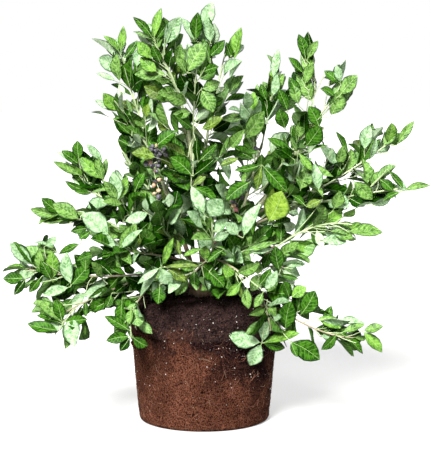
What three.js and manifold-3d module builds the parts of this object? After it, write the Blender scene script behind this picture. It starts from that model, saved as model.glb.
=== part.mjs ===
// A highbush blueberry lifted out of its nursery container: the whole bush, standing on
// its bare root ball. Millimetres, +Z up, -Y is the front. The origin is the middle of the
// flat underside of the root ball.
//
// The canes leave one woody crown, boughs fork off the canes, and each foliage mass is one
// stem with side twigs and leaves, grown by a seeded rule inside a space of its own.

import * as THREE from 'three';
import { mergeVertices } from 'three/addons/utils/BufferGeometryUtils.js';
import Module from 'manifold-3d';

const wasm = await Module();
wasm.setup();

// Root ball, moulded by a tapered container. The dark soil layer on top stands a little proud.
const footRadius = 120;
const wallSlope = 0.088;
const footBevel = 5;
const rootMatHeight = 165;
const soilHeight = 228;
const soilProud = 2.5;
const shoulderRadius = 136;
const shoulderDrop = 9;
const soilRise = 5;
const soilEdge = { start: 0.9, crest: 0.55 };
const crownSeatRadius = 36;
const ballSides = 28;
const gap = 0.3;

// Lumps round the ball, outside a radius: their height, how many go round, and the height
// over which the finer ones turn
const lump = { height: 0.8, outside: 96, around: 5, finer: 9, turn: 30 };

// Woody crown, and the canes that leave it. A foot is a cane's place on the crown.
const crown = {
  footRadius: 33,
  waistRadius: 27,
  waistHeight: 12,
  topRadius: 21,
  shoulderHeight: 22,
  height: 24,
  sides: 14,
};
const caneSunk = 9;

// The shares of the way up and of the way to its tip in a cane's first heading, and where
// along a limb its bend lies
const caneRise = 0.8;
const caneLean = 0.7;
const bend = 0.5;

// Diameters at the foot and at the tip of a limb or shoot, with its sides and its steps
const caneSize = { foot: 10, tip: 5.4, sides: 6, steps: 5 };
const boughSize = { foot: 5.4, tip: 4.8, sides: 4, steps: 4 };
const stemSize = { foot: 3.8, tip: 2.6, sides: 3, steps: 4 };
const twigSize = { foot: 1.8, tip: 1.4, sides: 3, steps: 1 };

// Every limb ends at a bearing in degrees from +X, anticlockwise, a reach from the ball's
// axis and a height above the soil. "on" and "at" say which limb it leaves, and where: a
// place runs from 0 at the foot of a limb to 1 at its tip.
const canes = {
  cane_centre: { footBearing: 0, footReach: 0, bearing: 228, reach: 40, height: 310 },
  cane_left: { footBearing: 150, footReach: 15, bearing: 156, reach: 110, height: 280 },
  cane_low_left: { footBearing: 210, footReach: 15, bearing: 216, reach: 125, height: 50 },
  cane_right: { footBearing: 30, footReach: 15, bearing: 346, reach: 160, height: 255 },
  cane_low_right: { footBearing: 330, footReach: 15, bearing: 318, reach: 175, height: -5 },
  cane_front: { footBearing: 270, footReach: 15, bearing: 277, reach: 125, height: 95 },
  cane_back: { footBearing: 90, footReach: 15, bearing: 84, reach: 135, height: 185 },
};

const boughs = {
  bough_top: { on: 'cane_centre', at: 0.45, bearing: 83, reach: 55, height: 310 },
  bough_left: { on: 'cane_left', at: 0.42, bearing: 171, reach: 135, height: 160 },
  bough_left_mid: { on: 'cane_low_left', at: 0.5, bearing: 200, reach: 130, height: 110 },
  bough_upper_right: { on: 'cane_right', at: 0.45, bearing: 23, reach: 115, height: 270 },
  bough_right: { on: 'cane_right', at: 0.38, bearing: 349, reach: 160, height: 165 },
  bough_right_low: { on: 'cane_low_right', at: 0.5, bearing: 328, reach: 145, height: 95 },
  bough_front_left: { on: 'cane_front', at: 0.45, bearing: 242, reach: 120, height: 85 },
  bough_back_left: { on: 'cane_back', at: 0.4, bearing: 131, reach: 175, height: 165 },
  bough_back_right: { on: 'cane_back', at: 0.35, bearing: 45, reach: 175, height: 160 },
  bough_back_top: { on: 'cane_back', at: 0.55, bearing: 110, reach: 125, height: 325 },
};

// A foliage mass reaches to the tip of its last leaf. Berries hang in a cluster on its stem.
const masses = {
  top_left: { on: 'cane_centre', at: 1, bearing: 207, reach: 128, height: 500 },
  top_front: { on: 'cane_centre', at: 0.8, bearing: 267, reach: 115, height: 460 },
  top_centre: { on: 'bough_top', at: 1, bearing: 85, reach: 40, height: 535 },
  top_right: { on: 'bough_top', at: 0.75, bearing: 57, reach: 95, height: 495 },
  upper_left: { on: 'cane_left', at: 1, bearing: 162, reach: 165, height: 485 },
  outer_left: { on: 'cane_left', at: 0.8, bearing: 190, reach: 195, height: 395 },
  right_inner: { on: 'bough_upper_right', at: 1, bearing: 24, reach: 150, height: 450 },
  centre_right: { on: 'bough_upper_right', at: 0.7, bearing: 325, reach: 80, height: 380 },
  right_high: { on: 'cane_right', at: 1, bearing: 353, reach: 187, height: 478 },
  right_outer: { on: 'cane_right', at: 0.72, bearing: 340, reach: 280, height: 410 },
  far_right_high: { on: 'bough_right', at: 0.8, bearing: 4, reach: 385, height: 315 },
  far_right: { on: 'bough_right', at: 1, bearing: 350, reach: 405, height: 210 },
  inner_right: { on: 'bough_right', at: 0.55, bearing: 323, reach: 215, height: 265 },
  right_mid: { on: 'bough_right_low', at: 1, bearing: 342, reach: 330, height: 130 },
  low_right: { on: 'cane_low_right', at: 1, bearing: 339, reach: 335, height: -58 },
  hanging_right: { on: 'cane_low_right', at: 0.8, bearing: 304, reach: 195, height: -88 },
  left_high: { on: 'bough_left', at: 1, bearing: 170, reach: 265, height: 252 },
  left_mid: { on: 'bough_left_mid', at: 1, bearing: 189, reach: 315, height: 165 },
  left_upright: { on: 'bough_left_mid', at: 0.7, bearing: 216, reach: 195, height: 250 },
  low_left: { on: 'cane_low_left', at: 1, bearing: 193, reach: 372, height: 72 },
  low_left_droop: { on: 'cane_low_left', at: 0.88, bearing: 206, reach: 330, height: -40 },
  under_left: { on: 'cane_low_left', at: 0.7, bearing: 233, reach: 230, height: -55 },
  front_left: { on: 'bough_front_left', at: 1, bearing: 229, reach: 285, height: 120 },
  front_left_high: { on: 'bough_front_left', at: 0.6, bearing: 242, reach: 205, height: 220 },
  front_centre: { on: 'cane_front', at: 1, bearing: 271, reach: 195, height: 215 },
  front_right: { on: 'cane_front', at: 0.8, bearing: 295, reach: 235, height: 40 },
  front_low: { on: 'cane_front', at: 0.75, bearing: 254, reach: 195, height: 20 },
  right_low_inner: { on: 'bough_right_low', at: 0.55, bearing: 316, reach: 225, height: 45 },
  left_low_inner: { on: 'cane_low_left', at: 0.45, bearing: 186, reach: 185, height: 5 },
  fruit_left: { on: 'cane_centre', at: 0.5, bearing: 228, reach: 110, height: 280, berries: 5 },
  fruit_right: { on: 'cane_right', at: 0.25, bearing: 300, reach: 125, height: 250, berries: 4 },
  back_left_low: { on: 'bough_back_left', at: 1, bearing: 147, reach: 365, height: 80 },
  back_left_high: { on: 'bough_back_left', at: 0.7, bearing: 136, reach: 265, height: 325 },
  back_low: { on: 'cane_back', at: 1, bearing: 96, reach: 300, height: 70 },
  back_high: { on: 'bough_back_top', at: 1, bearing: 104, reach: 155, height: 445 },
  back_mid: { on: 'bough_back_top', at: 0.6, bearing: 78, reach: 240, height: 300 },
  back_right_low: { on: 'bough_back_right', at: 1, bearing: 35, reach: 360, height: 75 },
  back_right_high: { on: 'bough_back_right', at: 0.7, bearing: 36, reach: 280, height: 335 },
  back_left_mid: { on: 'cane_back', at: 0.6, bearing: 121, reach: 315, height: 185 },
  back_right_mid: { on: 'cane_back', at: 0.5, bearing: 56, reach: 320, height: 200 },
};

// The share of its parent's heading that a limb sets off with, at a tip and at a side
const onwardShare = 0.6;
const sidewaysShare = 0.35;

// How far a limb that carries on from a tip starts inside it
const tipJoin = 1;

// Twigs along a stem. A twig's length is a share of its stem's length, less towards the tip.
const twigRule = {
  spacing: 50,
  places: [0.18, 0.88],
  footShare: 0.42,
  tipShare: 0.2,
  shareSpan: [0.85, 1.15],
  shortest: 32,
  longest: 90,
  spread: [26, 38],
  rollSpan: [0, 30],
  upturn: 0.1,
  probes: [0.4, 0.7, 1],
  tries: 6,
};

// Leaves along a shoot, from its tip down. Angles between leaf and shoot are in degrees, and
// a blade faces partly out of the crown, partly up and partly along its shoot.
const leafRule = {
  length: 66,
  lengthSpan: [0.86, 1.14],
  tipSize: 0.8,
  sizeGain: 0.45,
  spacing: 24,
  lastPlace: 0.12,
  tipSunk: 1,
  tipTilt: 10,
  spread: [35, 62],
  rollSpan: [0, 40],
  flatten: 0.7,
  faceOut: 0.8,
  faceUp: 0.6,
  faceTip: 0.3,
  faceSpan: [-55, 55],
  apart: 30,
  offShoot: 3,
  tries: 4,
};

// A blade's width, thickness and drop as shares of its length. A taper under 1 moves its
// widest part towards the tip.
const leafShape = { width: 0.5, thickness: 0.025, drop: 0.1, taper: 0.7 };

const berry = { radius: 5.5, place: 0.62, step: 4.5, offset: 5 };

// Successive leaves, twigs and berries turn round their shoot by the golden angle
const goldenAngle = 137.5;
const twigSeed = 7919;
const leafSeed = 104729;
const shootSeed = 1299709;

// What twigs and leaves keep clear of: half a gap between masses, a limb's bark, the ball
const spaceMargin = 1.5;
const limbClearance = 2;
const ballClearance = 3;

const up = new THREE.Vector3(0, 0, 1);
const radians = THREE.MathUtils.degToRad;

// A repeatable stream of numbers, each drawn between the two ends of a span
function drawsFrom(seed) {
  const multiplier = 48271;
  const modulus = 2147483647;
  let state = seed;
  return ([low, high]) => {
    state = (state * multiplier) % modulus;
    return THREE.MathUtils.lerp(low, high, state / modulus);
  };
}

// Closed geometry to solid, and back
function toSolid(geometry) {
  geometry.deleteAttribute('normal');
  geometry.deleteAttribute('uv');
  const merged = mergeVertices(geometry);
  return new wasm.Manifold(new wasm.Mesh({
    numProp: 3,
    vertProperties: merged.attributes.position.array,
    triVerts: new Uint32Array(merged.index.array),
  }));
}

function toGeometry(solid) {
  const mesh = solid.getMesh();
  const geometry = new THREE.BufferGeometry();
  geometry.setAttribute('position', new THREE.BufferAttribute(mesh.vertProperties, 3));
  geometry.setIndex(new THREE.BufferAttribute(mesh.triVerts, 1));
  return geometry;
}

// Moves every point of a geometry by a rule
function reshape(geometry, rule) {
  const position = geometry.attributes.position;
  const point = new THREE.Vector3();
  for (let i = 0; i < position.count; i += 1) {
    point.fromBufferAttribute(position, i);
    rule(point);
    position.setXYZ(i, point.x, point.y, point.z);
  }
  return geometry;
}

// The largest body of a solid, with sealed hollows filled and loose scraps dropped
function mainBody(solid) {
  const bodies = solid.decompose();
  bodies.sort((a, b) => b.volume() - a.volume());
  return bodies[0];
}

// A point at a bearing and reach from the ball's axis, at a height above the soil
function pointAt(bearing, reach, height) {
  const turn = radians(bearing);
  return new THREE.Vector3(
    reach * Math.cos(turn),
    reach * Math.sin(turn),
    soilHeight + height,
  );
}

// A curved shoot: its curve, the direction square to the bend, its size, and its line of
// straight steps
function makeShoot(start, control, end, size) {
  const curve = new THREE.QuadraticBezierCurve3(start, control, end);
  const side = control.clone().sub(start).cross(end.clone().sub(control)).normalize();
  const line = [];
  for (let i = 0; i < size.steps; i += 1) {
    const from = curve.getPoint(i / size.steps);
    line.push(new THREE.Line3(from, curve.getPoint((i + 1) / size.steps)));
  }
  return { curve, side, size, line, length: curve.getLength() };
}

// The point at a place along the straight steps of a shoot
function pointOn(shoot, place) {
  const { steps } = shoot.size;
  const step = Math.min(Math.floor(place * steps), steps - 1);
  return shoot.line[step].at(place * steps - step, new THREE.Vector3());
}

// The direction square to a shoot at a place, turned round it by a roll
function radialAt(shoot, tangent, roll) {
  const other = new THREE.Vector3().crossVectors(shoot.side, tangent);
  return shoot.side.clone().multiplyScalar(Math.cos(roll)).addScaledVector(other, Math.sin(roll));
}

// A tapered, closed tube along a shoot, made fatter and longer by "extra"
function shootSolid(shoot, extra = 0) {
  const { foot, tip, sides, steps } = shoot.size;
  const tube = new THREE.CylinderGeometry(tip / 2 + extra, foot / 2 + extra, 1, sides, steps);
  reshape(tube, (point) => {
    const place = point.y + 0.5;
    const tangent = shoot.curve.getTangent(place);
    const other = new THREE.Vector3().crossVectors(shoot.side, tangent);
    const centre = shoot.curve.getPoint(place);
    centre.addScaledVector(shoot.side, point.x).addScaledVector(other, point.z);
    point.copy(centre.addScaledVector(tangent, extra * Math.floor(place)));
  });
  return toSolid(tube);
}

// Canes rise off the crown and lean over towards their tips
function caneShoot(cane) {
  const start = pointAt(cane.footBearing, cane.footReach, caneSunk);
  const end = pointAt(cane.bearing, cane.reach, cane.height);
  const toEnd = end.clone().sub(start);
  const span = toEnd.length();
  const heading = toEnd.divideScalar(span).multiplyScalar(caneLean);
  heading.addScaledVector(up, caneRise).normalize();
  const control = start.clone().addScaledVector(heading, span * bend);
  return makeShoot(start, control, end, caneSize);
}

// A bough or stem leaves its parent between its parent's heading and the way to its own tip,
// and stops "short" of it
function branchShoot(branch, parent, size, short) {
  const start = pointOn(parent, branch.at);
  const tangent = parent.curve.getTangent(branch.at);
  const tip = pointAt(branch.bearing, branch.reach, branch.height);
  const toTip = tip.clone().sub(start);
  const span = toTip.length();
  const share = branch.at === 1 ? onwardShare : sidewaysShare;
  const heading = toTip.divideScalar(span).multiplyScalar(1 - share);
  heading.addScaledVector(tangent, share).normalize();
  start.addScaledVector(tangent, branch.at === 1 ? -tipJoin : 0);
  const control = start.clone().addScaledVector(heading, span * bend);
  const end = tip.clone().sub(control).normalize().multiplyScalar(-short).add(tip);
  return makeShoot(start, control, end, size);
}

// A twig leaves a stem sideways and turns up towards its tip
function twigShoot(stem, place, roll, spread, length) {
  const start = pointOn(stem, place);
  const tangent = stem.curve.getTangent(place);
  const heading = radialAt(stem, tangent, roll).multiplyScalar(Math.sin(spread));
  heading.addScaledVector(tangent, Math.cos(spread));
  const control = start.clone().addScaledVector(heading, length * bend);
  const end = start.clone().addScaledVector(heading, length);
  end.addScaledVector(up, length * twigRule.upturn);
  return makeShoot(start, control, end, twigSize);
}

function distanceTo(line, point) {
  const nearest = new THREE.Vector3();
  let least = Infinity;
  for (const piece of line) {
    piece.closestPointToPoint(point, true, nearest);
    least = Math.min(least, nearest.distanceTo(point));
  }
  return least;
}

function clearOfBall(point) {
  const outside = Math.hypot(point.x, point.y) - footRadius - point.z * wallSlope;
  return outside > soilProud + ballClearance || point.z > soilHeight + soilRise + ballClearance;
}

function clearOfLimbs(point) {
  return limbs.every((limb) => distanceTo(limb.line, point) > limb.size.foot / 2 + limbClearance);
}

// A mass's own space is what lies nearer to its stem than to any other mass's stem
function inOwnSpace(point, owner) {
  const own = distanceTo(owner.line, point) + spaceMargin;
  return stems.every((stem) => stem === owner || distanceTo(stem.line, point) > own);
}

function fits(points, owner) {
  return points.every((point) => (
    clearOfBall(point) && clearOfLimbs(point) && inOwnSpace(point, owner)
  ));
}

// Turns a thing round its shoot until it fits, and gives up after a full turn
function firstThatFits(tries, make, test) {
  for (let attempt = 0; attempt < tries; attempt += 1) {
    const made = make(attempt * 2 * Math.PI / tries);
    if (test(made)) {
      return [made];
    }
  }
  return [];
}

function growTwigs(stem, draw) {
  const rule = twigRule;
  const count = Math.round(stem.length / rule.spacing);
  const twigs = [];
  for (let i = 0; i < count; i += 1) {
    const place = THREE.MathUtils.lerp(...rule.places, (i + 0.5) / count);
    const share = THREE.MathUtils.lerp(rule.footShare, rule.tipShare, place) * draw(rule.shareSpan);
    const length = THREE.MathUtils.clamp(stem.length * share, rule.shortest, rule.longest);
    const spread = radians(draw(rule.spread));
    const roll = radians(goldenAngle * i + draw(rule.rollSpan));
    twigs.push(...firstThatFits(
      rule.tries,
      (turn) => twigShoot(stem, place, roll + turn, spread, length),
      (twig) => fits(rule.probes.map((reach) => pointOn(twig, reach)), stem),
    ));
  }
  return twigs;
}

// Where a leaf sits on its shoot, which way it points and which way it faces. "fromTip" runs
// from 0 for the last leaf to 1 for the first.
function leafPose(shoot, place, fromTip, roll, facing, length) {
  const rule = leafRule;
  const tangent = shoot.curve.getTangent(place);
  const tilt = fromTip === 0 ? rule.tipTilt : THREE.MathUtils.lerp(...rule.spread, fromTip);
  const spread = radians(tilt);
  const radial = radialAt(shoot, tangent, roll);
  const level = rule.flatten * (1 - Math.abs(tangent.z));
  radial.addScaledVector(up, -level * radial.z).normalize();
  const along = tangent.clone().multiplyScalar(Math.cos(spread));
  along.addScaledVector(radial, Math.sin(spread)).normalize();
  const root = pointOn(shoot, place);
  const face = new THREE.Vector3(root.x, root.y, 0).setLength(rule.faceOut);
  face.addScaledVector(up, rule.faceUp).addScaledVector(tangent, rule.faceTip);
  face.addScaledVector(along, -face.dot(along)).normalize();
  face.applyAxisAngle(along, facing);
  return { root, along, face, length };
}

// A point of a leaf: "forward" runs from 0 to 1, "sideways" from -1 to 1 at the widest
function leafPoint(leaf, forward, sideways, lift) {
  const across = new THREE.Vector3().crossVectors(leaf.along, leaf.face);
  return leaf.root.clone()
    .addScaledVector(leaf.along, leaf.length * forward)
    .addScaledVector(across, leaf.length * leafShape.width / 2 * sideways)
    .addScaledVector(leaf.face, leaf.length * lift);
}

// A leaf drops in a curve from its base to its tip
function leafDrop(forward) {
  return leafShape.drop * forward * forward;
}

// Points round a blade, three to a side, and one in its middle and at its tip
function leafOutline(leaf) {
  const sides = [0.3, 0.55, 0.8].flatMap((forward) => [[forward, 1], [forward, -1]]);
  return [...sides, [0.5, 0], [1, 0]].map(([forward, sideways]) => (
    leafPoint(leaf, forward, sideways, -leafDrop(forward))
  ));
}

// A leaf is an octahedron laid on one face and stretched, so that all six of its corners
// stand on the outline of the blade, by turns on its upper and its lower side
function leafSolid(leaf) {
  const blade = new THREE.OctahedronGeometry(1, 0);
  blade.rotateZ(Math.PI / 4).rotateX(Math.atan(Math.SQRT2));
  return toSolid(reshape(blade, (point) => {
    const reach = Math.max(0, 0.5 + 0.5 * point.y / Math.sqrt(2 / 3));
    const forward = Math.pow(reach, leafShape.taper);
    const sideways = point.x / Math.sqrt(1 / 2);
    const lift = 0.5 * leafShape.thickness * point.z / Math.sqrt(1 / 3) - leafDrop(forward);
    point.copy(leafPoint(leaf, forward, sideways, lift));
  }));
}

// Two leaves of a mass keep their middles apart, and a leaf keeps off the other shoots
function standsApart(leaf, leaves, others) {
  const { apart, offShoot } = leafRule;
  const middle = leafPoint(leaf, 0.5, 0, 0);
  const outline = leafOutline(leaf);
  return leaves.every((other) => leafPoint(other, 0.5, 0, 0).distanceTo(middle) > apart)
    && others.every(({ line }) => outline.every((point) => distanceTo(line, point) > offShoot));
}

// Adds the leaves of one shoot to those of its mass, whose first shoot is its stem
function growLeaves(shoot, shootsOfMass, leaves, draw) {
  const rule = leafRule;
  const others = shootsOfMass.filter((other) => other !== shoot);
  const count = Math.floor(shoot.length * (1 - rule.lastPlace) / rule.spacing) + 1;
  for (let i = 0; i < count; i += 1) {
    const place = 1 - (rule.tipSunk + i * rule.spacing) / shoot.length;
    const fromTip = i / Math.max(count - 1, 1);
    const size = Math.min(1, rule.tipSize + rule.sizeGain * fromTip);
    const length = rule.length * size * draw(rule.lengthSpan);
    const facing = radians(draw(rule.faceSpan));
    const roll = radians(goldenAngle * i + draw(rule.rollSpan));
    leaves.push(...firstThatFits(
      rule.tries,
      (turn) => leafPose(shoot, place, fromTip, roll + turn, facing, length),
      (leaf) => standsApart(leaf, leaves, others) && fits(leafOutline(leaf), shootsOfMass[0]),
    ));
  }
}

// Berries sit against their stem in a close spiral
function berrySolids(stem, count) {
  const berries = [];
  for (let i = 0; i < count; i += 1) {
    const place = berry.place + (i - count / 2) * berry.step / stem.length;
    const tangent = stem.curve.getTangent(place);
    const centre = pointOn(stem, place);
    centre.addScaledVector(radialAt(stem, tangent, radians(goldenAngle * i)), berry.offset);
    const ball = new THREE.IcosahedronGeometry(berry.radius, 0);
    berries.push(toSolid(ball.translate(centre.x, centre.y, centre.z)));
  }
  return berries;
}

// One foliage mass: stem, twigs, leaves and berries fused, cut clear of the limb it leaves
function growMass(name, index) {
  const order = index + 3;
  const stem = stems[index];
  const shootsOfMass = [stem, ...growTwigs(stem, drawsFrom(twigSeed * order))];
  const leaves = [];
  shootsOfMass.forEach((shoot, i) => {
    growLeaves(shoot, shootsOfMass, leaves, drawsFrom(leafSeed * order + shootSeed * i));
  });
  const solids = shootsOfMass.map((shoot) => shootSolid(shoot));
  solids.push(...leaves.map(leafSolid));
  solids.push(...berrySolids(stem, masses[name].berries ?? 0));
  const fused = wasm.Manifold.union(solids);
  return mainBody(fused.subtract(shootSolid(shoots[masses[name].on], gap)));
}

// Root ball parts: lathe profiles run from the axis out and back to it
function wallRadius(height) {
  return footRadius + height * wallSlope;
}

// Slight lumps round the side, none near the axis, where the crown is seated
function lumpy(geometry, phase) {
  return reshape(geometry, (point) => {
    const radius = Math.hypot(point.x, point.y);
    const turn = Math.atan2(point.y, point.x);
    const coarse = Math.sin(lump.around * turn + phase);
    const fine = Math.sin(lump.finer * turn + point.z / lump.turn + 2 * phase);
    const grown = radius > lump.outside ? 1 + lump.height * (coarse + fine) / radius : 1;
    point.x *= grown;
    point.y *= grown;
  });
}

function turned(profile, sides) {
  const points = profile.map(([radius, height]) => new THREE.Vector2(radius, height));
  return new THREE.LatheGeometry(points, sides).rotateX(Math.PI / 2);
}

function rootBallSolid() {
  const waist = rootMatHeight / 2;
  const profile = [
    [0, 0],
    [footRadius - footBevel, 0],
    [wallRadius(footBevel), footBevel],
    [wallRadius(waist), waist],
    [wallRadius(rootMatHeight), rootMatHeight],
    [0, rootMatHeight],
  ];
  return toSolid(lumpy(turned(profile, ballSides), 0));
}

function soilTopSolid() {
  const base = rootMatHeight + gap;
  const middle = (base + soilHeight) / 2;
  const profile = [
    [0, base],
    [wallRadius(base), base],
    [wallRadius(middle) + soilProud, middle],
    [shoulderRadius, soilHeight - shoulderDrop],
    [shoulderRadius * soilEdge.start, soilHeight],
    [shoulderRadius * soilEdge.crest, soilHeight + soilRise],
    [crownSeatRadius, soilHeight],
    [0, soilHeight],
  ];
  return toSolid(lumpy(turned(profile, ballSides), 1));
}

function rootCrownSolid(extra = 0) {
  const foot = soilHeight + gap;
  const profile = [
    [0, foot - extra],
    [crown.footRadius + extra, foot - extra],
    [crown.waistRadius + extra, foot + crown.waistHeight],
    [crown.topRadius + extra, foot + crown.shoulderHeight + extra],
    [0, foot + crown.height + extra],
  ];
  return toSolid(turned(profile, crown.sides));
}

// One finish to each kind of node
const finishes = {
  rootMat: { color: 0x7a4a2c, roughness: 0.95, metalness: 0 },
  soil: { color: 0x3a2620, roughness: 1, metalness: 0 },
  bark: { color: 0x6b5138, roughness: 0.85, metalness: 0 },
  greenBark: { color: 0x7f8d4a, roughness: 0.7, metalness: 0 },
  foliage: { color: 0x4f8a3a, roughness: 0.55, metalness: 0 },
};

const group = new THREE.Group();

function addNode(name, solid, finish) {
  const mesh = new THREE.Mesh(toGeometry(solid), new THREE.MeshStandardMaterial(finishes[finish]));
  mesh.name = name;
  group.add(mesh);
}

// Limbs are laid out first, then the stems of the masses, because both bound the spaces
const shoots = {};
for (const [name, cane] of Object.entries(canes)) {
  shoots[name] = caneShoot(cane);
}
for (const [name, bough] of Object.entries(boughs)) {
  shoots[name] = branchShoot(bough, shoots[bough.on], boughSize, 0);
}
const limbs = Object.values(shoots);
const tipLeafReach = leafRule.length * leafRule.tipSize;
const stems = Object.values(masses).map((mass) => (
  branchShoot(mass, shoots[mass.on], stemSize, tipLeafReach)
));

addNode('root_ball', rootBallSolid(), 'rootMat');
addNode('soil_top', soilTopSolid(), 'soil');
addNode('root_crown', rootCrownSolid(), 'bark');
for (const name of Object.keys(canes)) {
  addNode(name, mainBody(shootSolid(shoots[name]).subtract(rootCrownSolid(gap))), 'bark');
}
for (const [name, bough] of Object.entries(boughs)) {
  const cut = shootSolid(shoots[name]).subtract(shootSolid(shoots[bough.on], gap));
  addNode(name, mainBody(cut), 'greenBark');
}
Object.keys(masses).forEach((name, index) => {
  addNode(`mass_${name}`, growMass(name, index), 'foliage');
});

export default group;
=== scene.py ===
import math
from itertools import combinations

import bpy
import numpy as np
from mathutils import Euler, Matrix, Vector


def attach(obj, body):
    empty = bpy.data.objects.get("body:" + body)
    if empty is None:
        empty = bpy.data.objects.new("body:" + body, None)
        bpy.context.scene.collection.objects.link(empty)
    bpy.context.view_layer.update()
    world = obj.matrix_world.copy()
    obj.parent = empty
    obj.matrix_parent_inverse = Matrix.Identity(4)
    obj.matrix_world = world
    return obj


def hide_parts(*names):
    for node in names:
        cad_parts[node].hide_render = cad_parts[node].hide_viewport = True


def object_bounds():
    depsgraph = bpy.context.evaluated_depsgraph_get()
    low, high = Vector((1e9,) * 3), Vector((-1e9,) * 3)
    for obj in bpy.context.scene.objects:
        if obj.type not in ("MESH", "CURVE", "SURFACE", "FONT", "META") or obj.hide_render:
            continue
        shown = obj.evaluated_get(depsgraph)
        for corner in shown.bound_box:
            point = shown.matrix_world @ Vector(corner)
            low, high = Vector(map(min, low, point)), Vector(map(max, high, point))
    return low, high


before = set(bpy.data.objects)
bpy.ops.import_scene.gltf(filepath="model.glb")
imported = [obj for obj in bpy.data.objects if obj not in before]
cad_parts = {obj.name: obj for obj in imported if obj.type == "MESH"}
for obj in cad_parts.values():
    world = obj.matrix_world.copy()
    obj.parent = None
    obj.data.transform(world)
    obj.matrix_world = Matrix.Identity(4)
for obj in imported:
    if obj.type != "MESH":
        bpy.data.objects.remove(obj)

# The bush is grown in millimetres by the same rules as its solids, then turned into metres.
# -Y is the front, and z = 0 is the flat underside of the root ball.
cadLow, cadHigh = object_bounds()
print("frame loaded", [round(v, 3) for v in cadLow], [round(v, 3) for v in cadHigh])

millimetre = 0.001
goldenAngle = 137.5
fullTurn = 2 * math.pi
up = np.array([0.0, 0.0, 1.0])
right = np.array([1.0, 0.0, 0.0])
back = np.array([0.0, 1.0, 0.0])


def newMaterial(name, roughness, specular=0.5):
    material = bpy.data.materials.new(name)
    material.use_nodes = True
    shader = material.node_tree.nodes["Principled BSDF"]
    shader.inputs["Roughness"].default_value = roughness
    shader.inputs["Specular IOR Level"].default_value = specular
    return material, material.node_tree, shader


def addNode(tree, kind, place=(0, 0), **values):
    made = tree.nodes.new(kind)
    made.location = place
    for key, value in values.items():
        if hasattr(made, key):
            setattr(made, key, value)
        else:
            made.inputs[key].default_value = value
    return made


def feed(tree, socket, value):
    # an input takes a number, a colour or another node's output
    if isinstance(value, bpy.types.NodeSocket):
        tree.links.new(value, socket)
    elif isinstance(value, tuple):
        socket.default_value = (*value, 1)
    else:
        socket.default_value = value


def compute(tree, operation, *values, place=(0, 0)):
    # one step of arithmetic on numbers or outputs
    step = addNode(tree, "ShaderNodeMath", place, operation=operation)
    for socket, value in zip(step.inputs, values):
        feed(tree, socket, value)
    return step.outputs[0]


def spanned(tree, value, span, ends=(0.0, 1.0), place=(0, 0), kind="LINEAR"):
    # from the first end at the low side of the span to the other at its high side
    step = addNode(tree, "ShaderNodeMapRange", place, interpolation_type=kind)
    labels = ("Value", "From Min", "From Max", "To Min", "To Max")
    for label, given in zip(labels, (value, *span, *ends)):
        feed(tree, step.inputs[label], given)
    return step.outputs["Result"]


def softStep(tree, value, low, high, place=(0, 0), ends=(0.0, 1.0)):
    return spanned(tree, value, (low, high), ends, place, "SMOOTHSTEP")


def blendColours(tree, factor, low, high, place=(0, 0)):
    # a plain mix of two colours or of two outputs
    blend = addNode(tree, "ShaderNodeMix", place, data_type="RGBA")
    feed(tree, blend.inputs["Factor"], factor)
    feed(tree, blend.inputs[6], low)
    feed(tree, blend.inputs[7], high)
    return blend.outputs[2]


cameraSettings = {
    "target": (0.021, 0.0, 0.340),
    "distance": 2.6,
    "elevation": 6.0,
    "lens": 108.0,
    "sensor": 36.0,
    "farthest": 50.0,
}

studio = {
    "floorSize": 60.0,
    "floorRoughness": 0.9,
    "floorSeen": 0.55,
    "floorBounce": 0.25,
    "floorGlow": 0.30,
    "sky": (1.0, 1.0, 1.0, 1),
    "skyStrength": 0.14,
    "backdropStrength": 1.0,
}

suns = {
    "keySun": {"tilt": 54, "turn": -20, "strength": 7.8, "angle": 20, "colour": (1.0, 0.99, 0.96)},
    "sideSun": {"tilt": 60, "turn": 50, "strength": 1.0, "angle": 45, "colour": (1.0, 1.0, 1.0)},
    "backSun": {"tilt": 42, "turn": 165, "strength": 2.4, "angle": 60, "colour": (1.0, 1.0, 1.0)},
}


def addCamera(settings):
    elevation = math.radians(settings["elevation"])
    towards = Vector((0, -math.cos(elevation), math.sin(elevation)))
    place = Vector(settings["target"]) + towards * settings["distance"]
    turn = (-towards).to_track_quat("-Z", "Y").to_euler()
    bpy.ops.object.camera_add(location=place, rotation=turn)
    camera = bpy.context.object
    camera.name = "camera"
    camera.data.sensor_width = settings["sensor"]
    camera.data.lens = settings["lens"]
    camera.data.clip_end = settings["farthest"]
    bpy.context.scene.camera = camera


def addSun(name, settings):
    # tilt from straight above, turn from the front towards the right
    turn = Euler((math.radians(settings["tilt"]), 0, math.radians(settings["turn"])))
    bpy.ops.object.light_add(type="SUN", rotation=turn)
    sun = bpy.context.object
    sun.name = name
    sun.data.energy = settings["strength"]
    sun.data.angle = math.radians(settings["angle"])
    sun.data.color = settings["colour"]


def seenOrNot(tree, seen, unseen):
    # one value for what the camera sees, another for the light that falls on the bush
    ray = addNode(tree, "ShaderNodeLightPath").outputs["Is Camera Ray"]
    return spanned(tree, ray, (0.0, 1.0), (unseen, seen))


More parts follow.
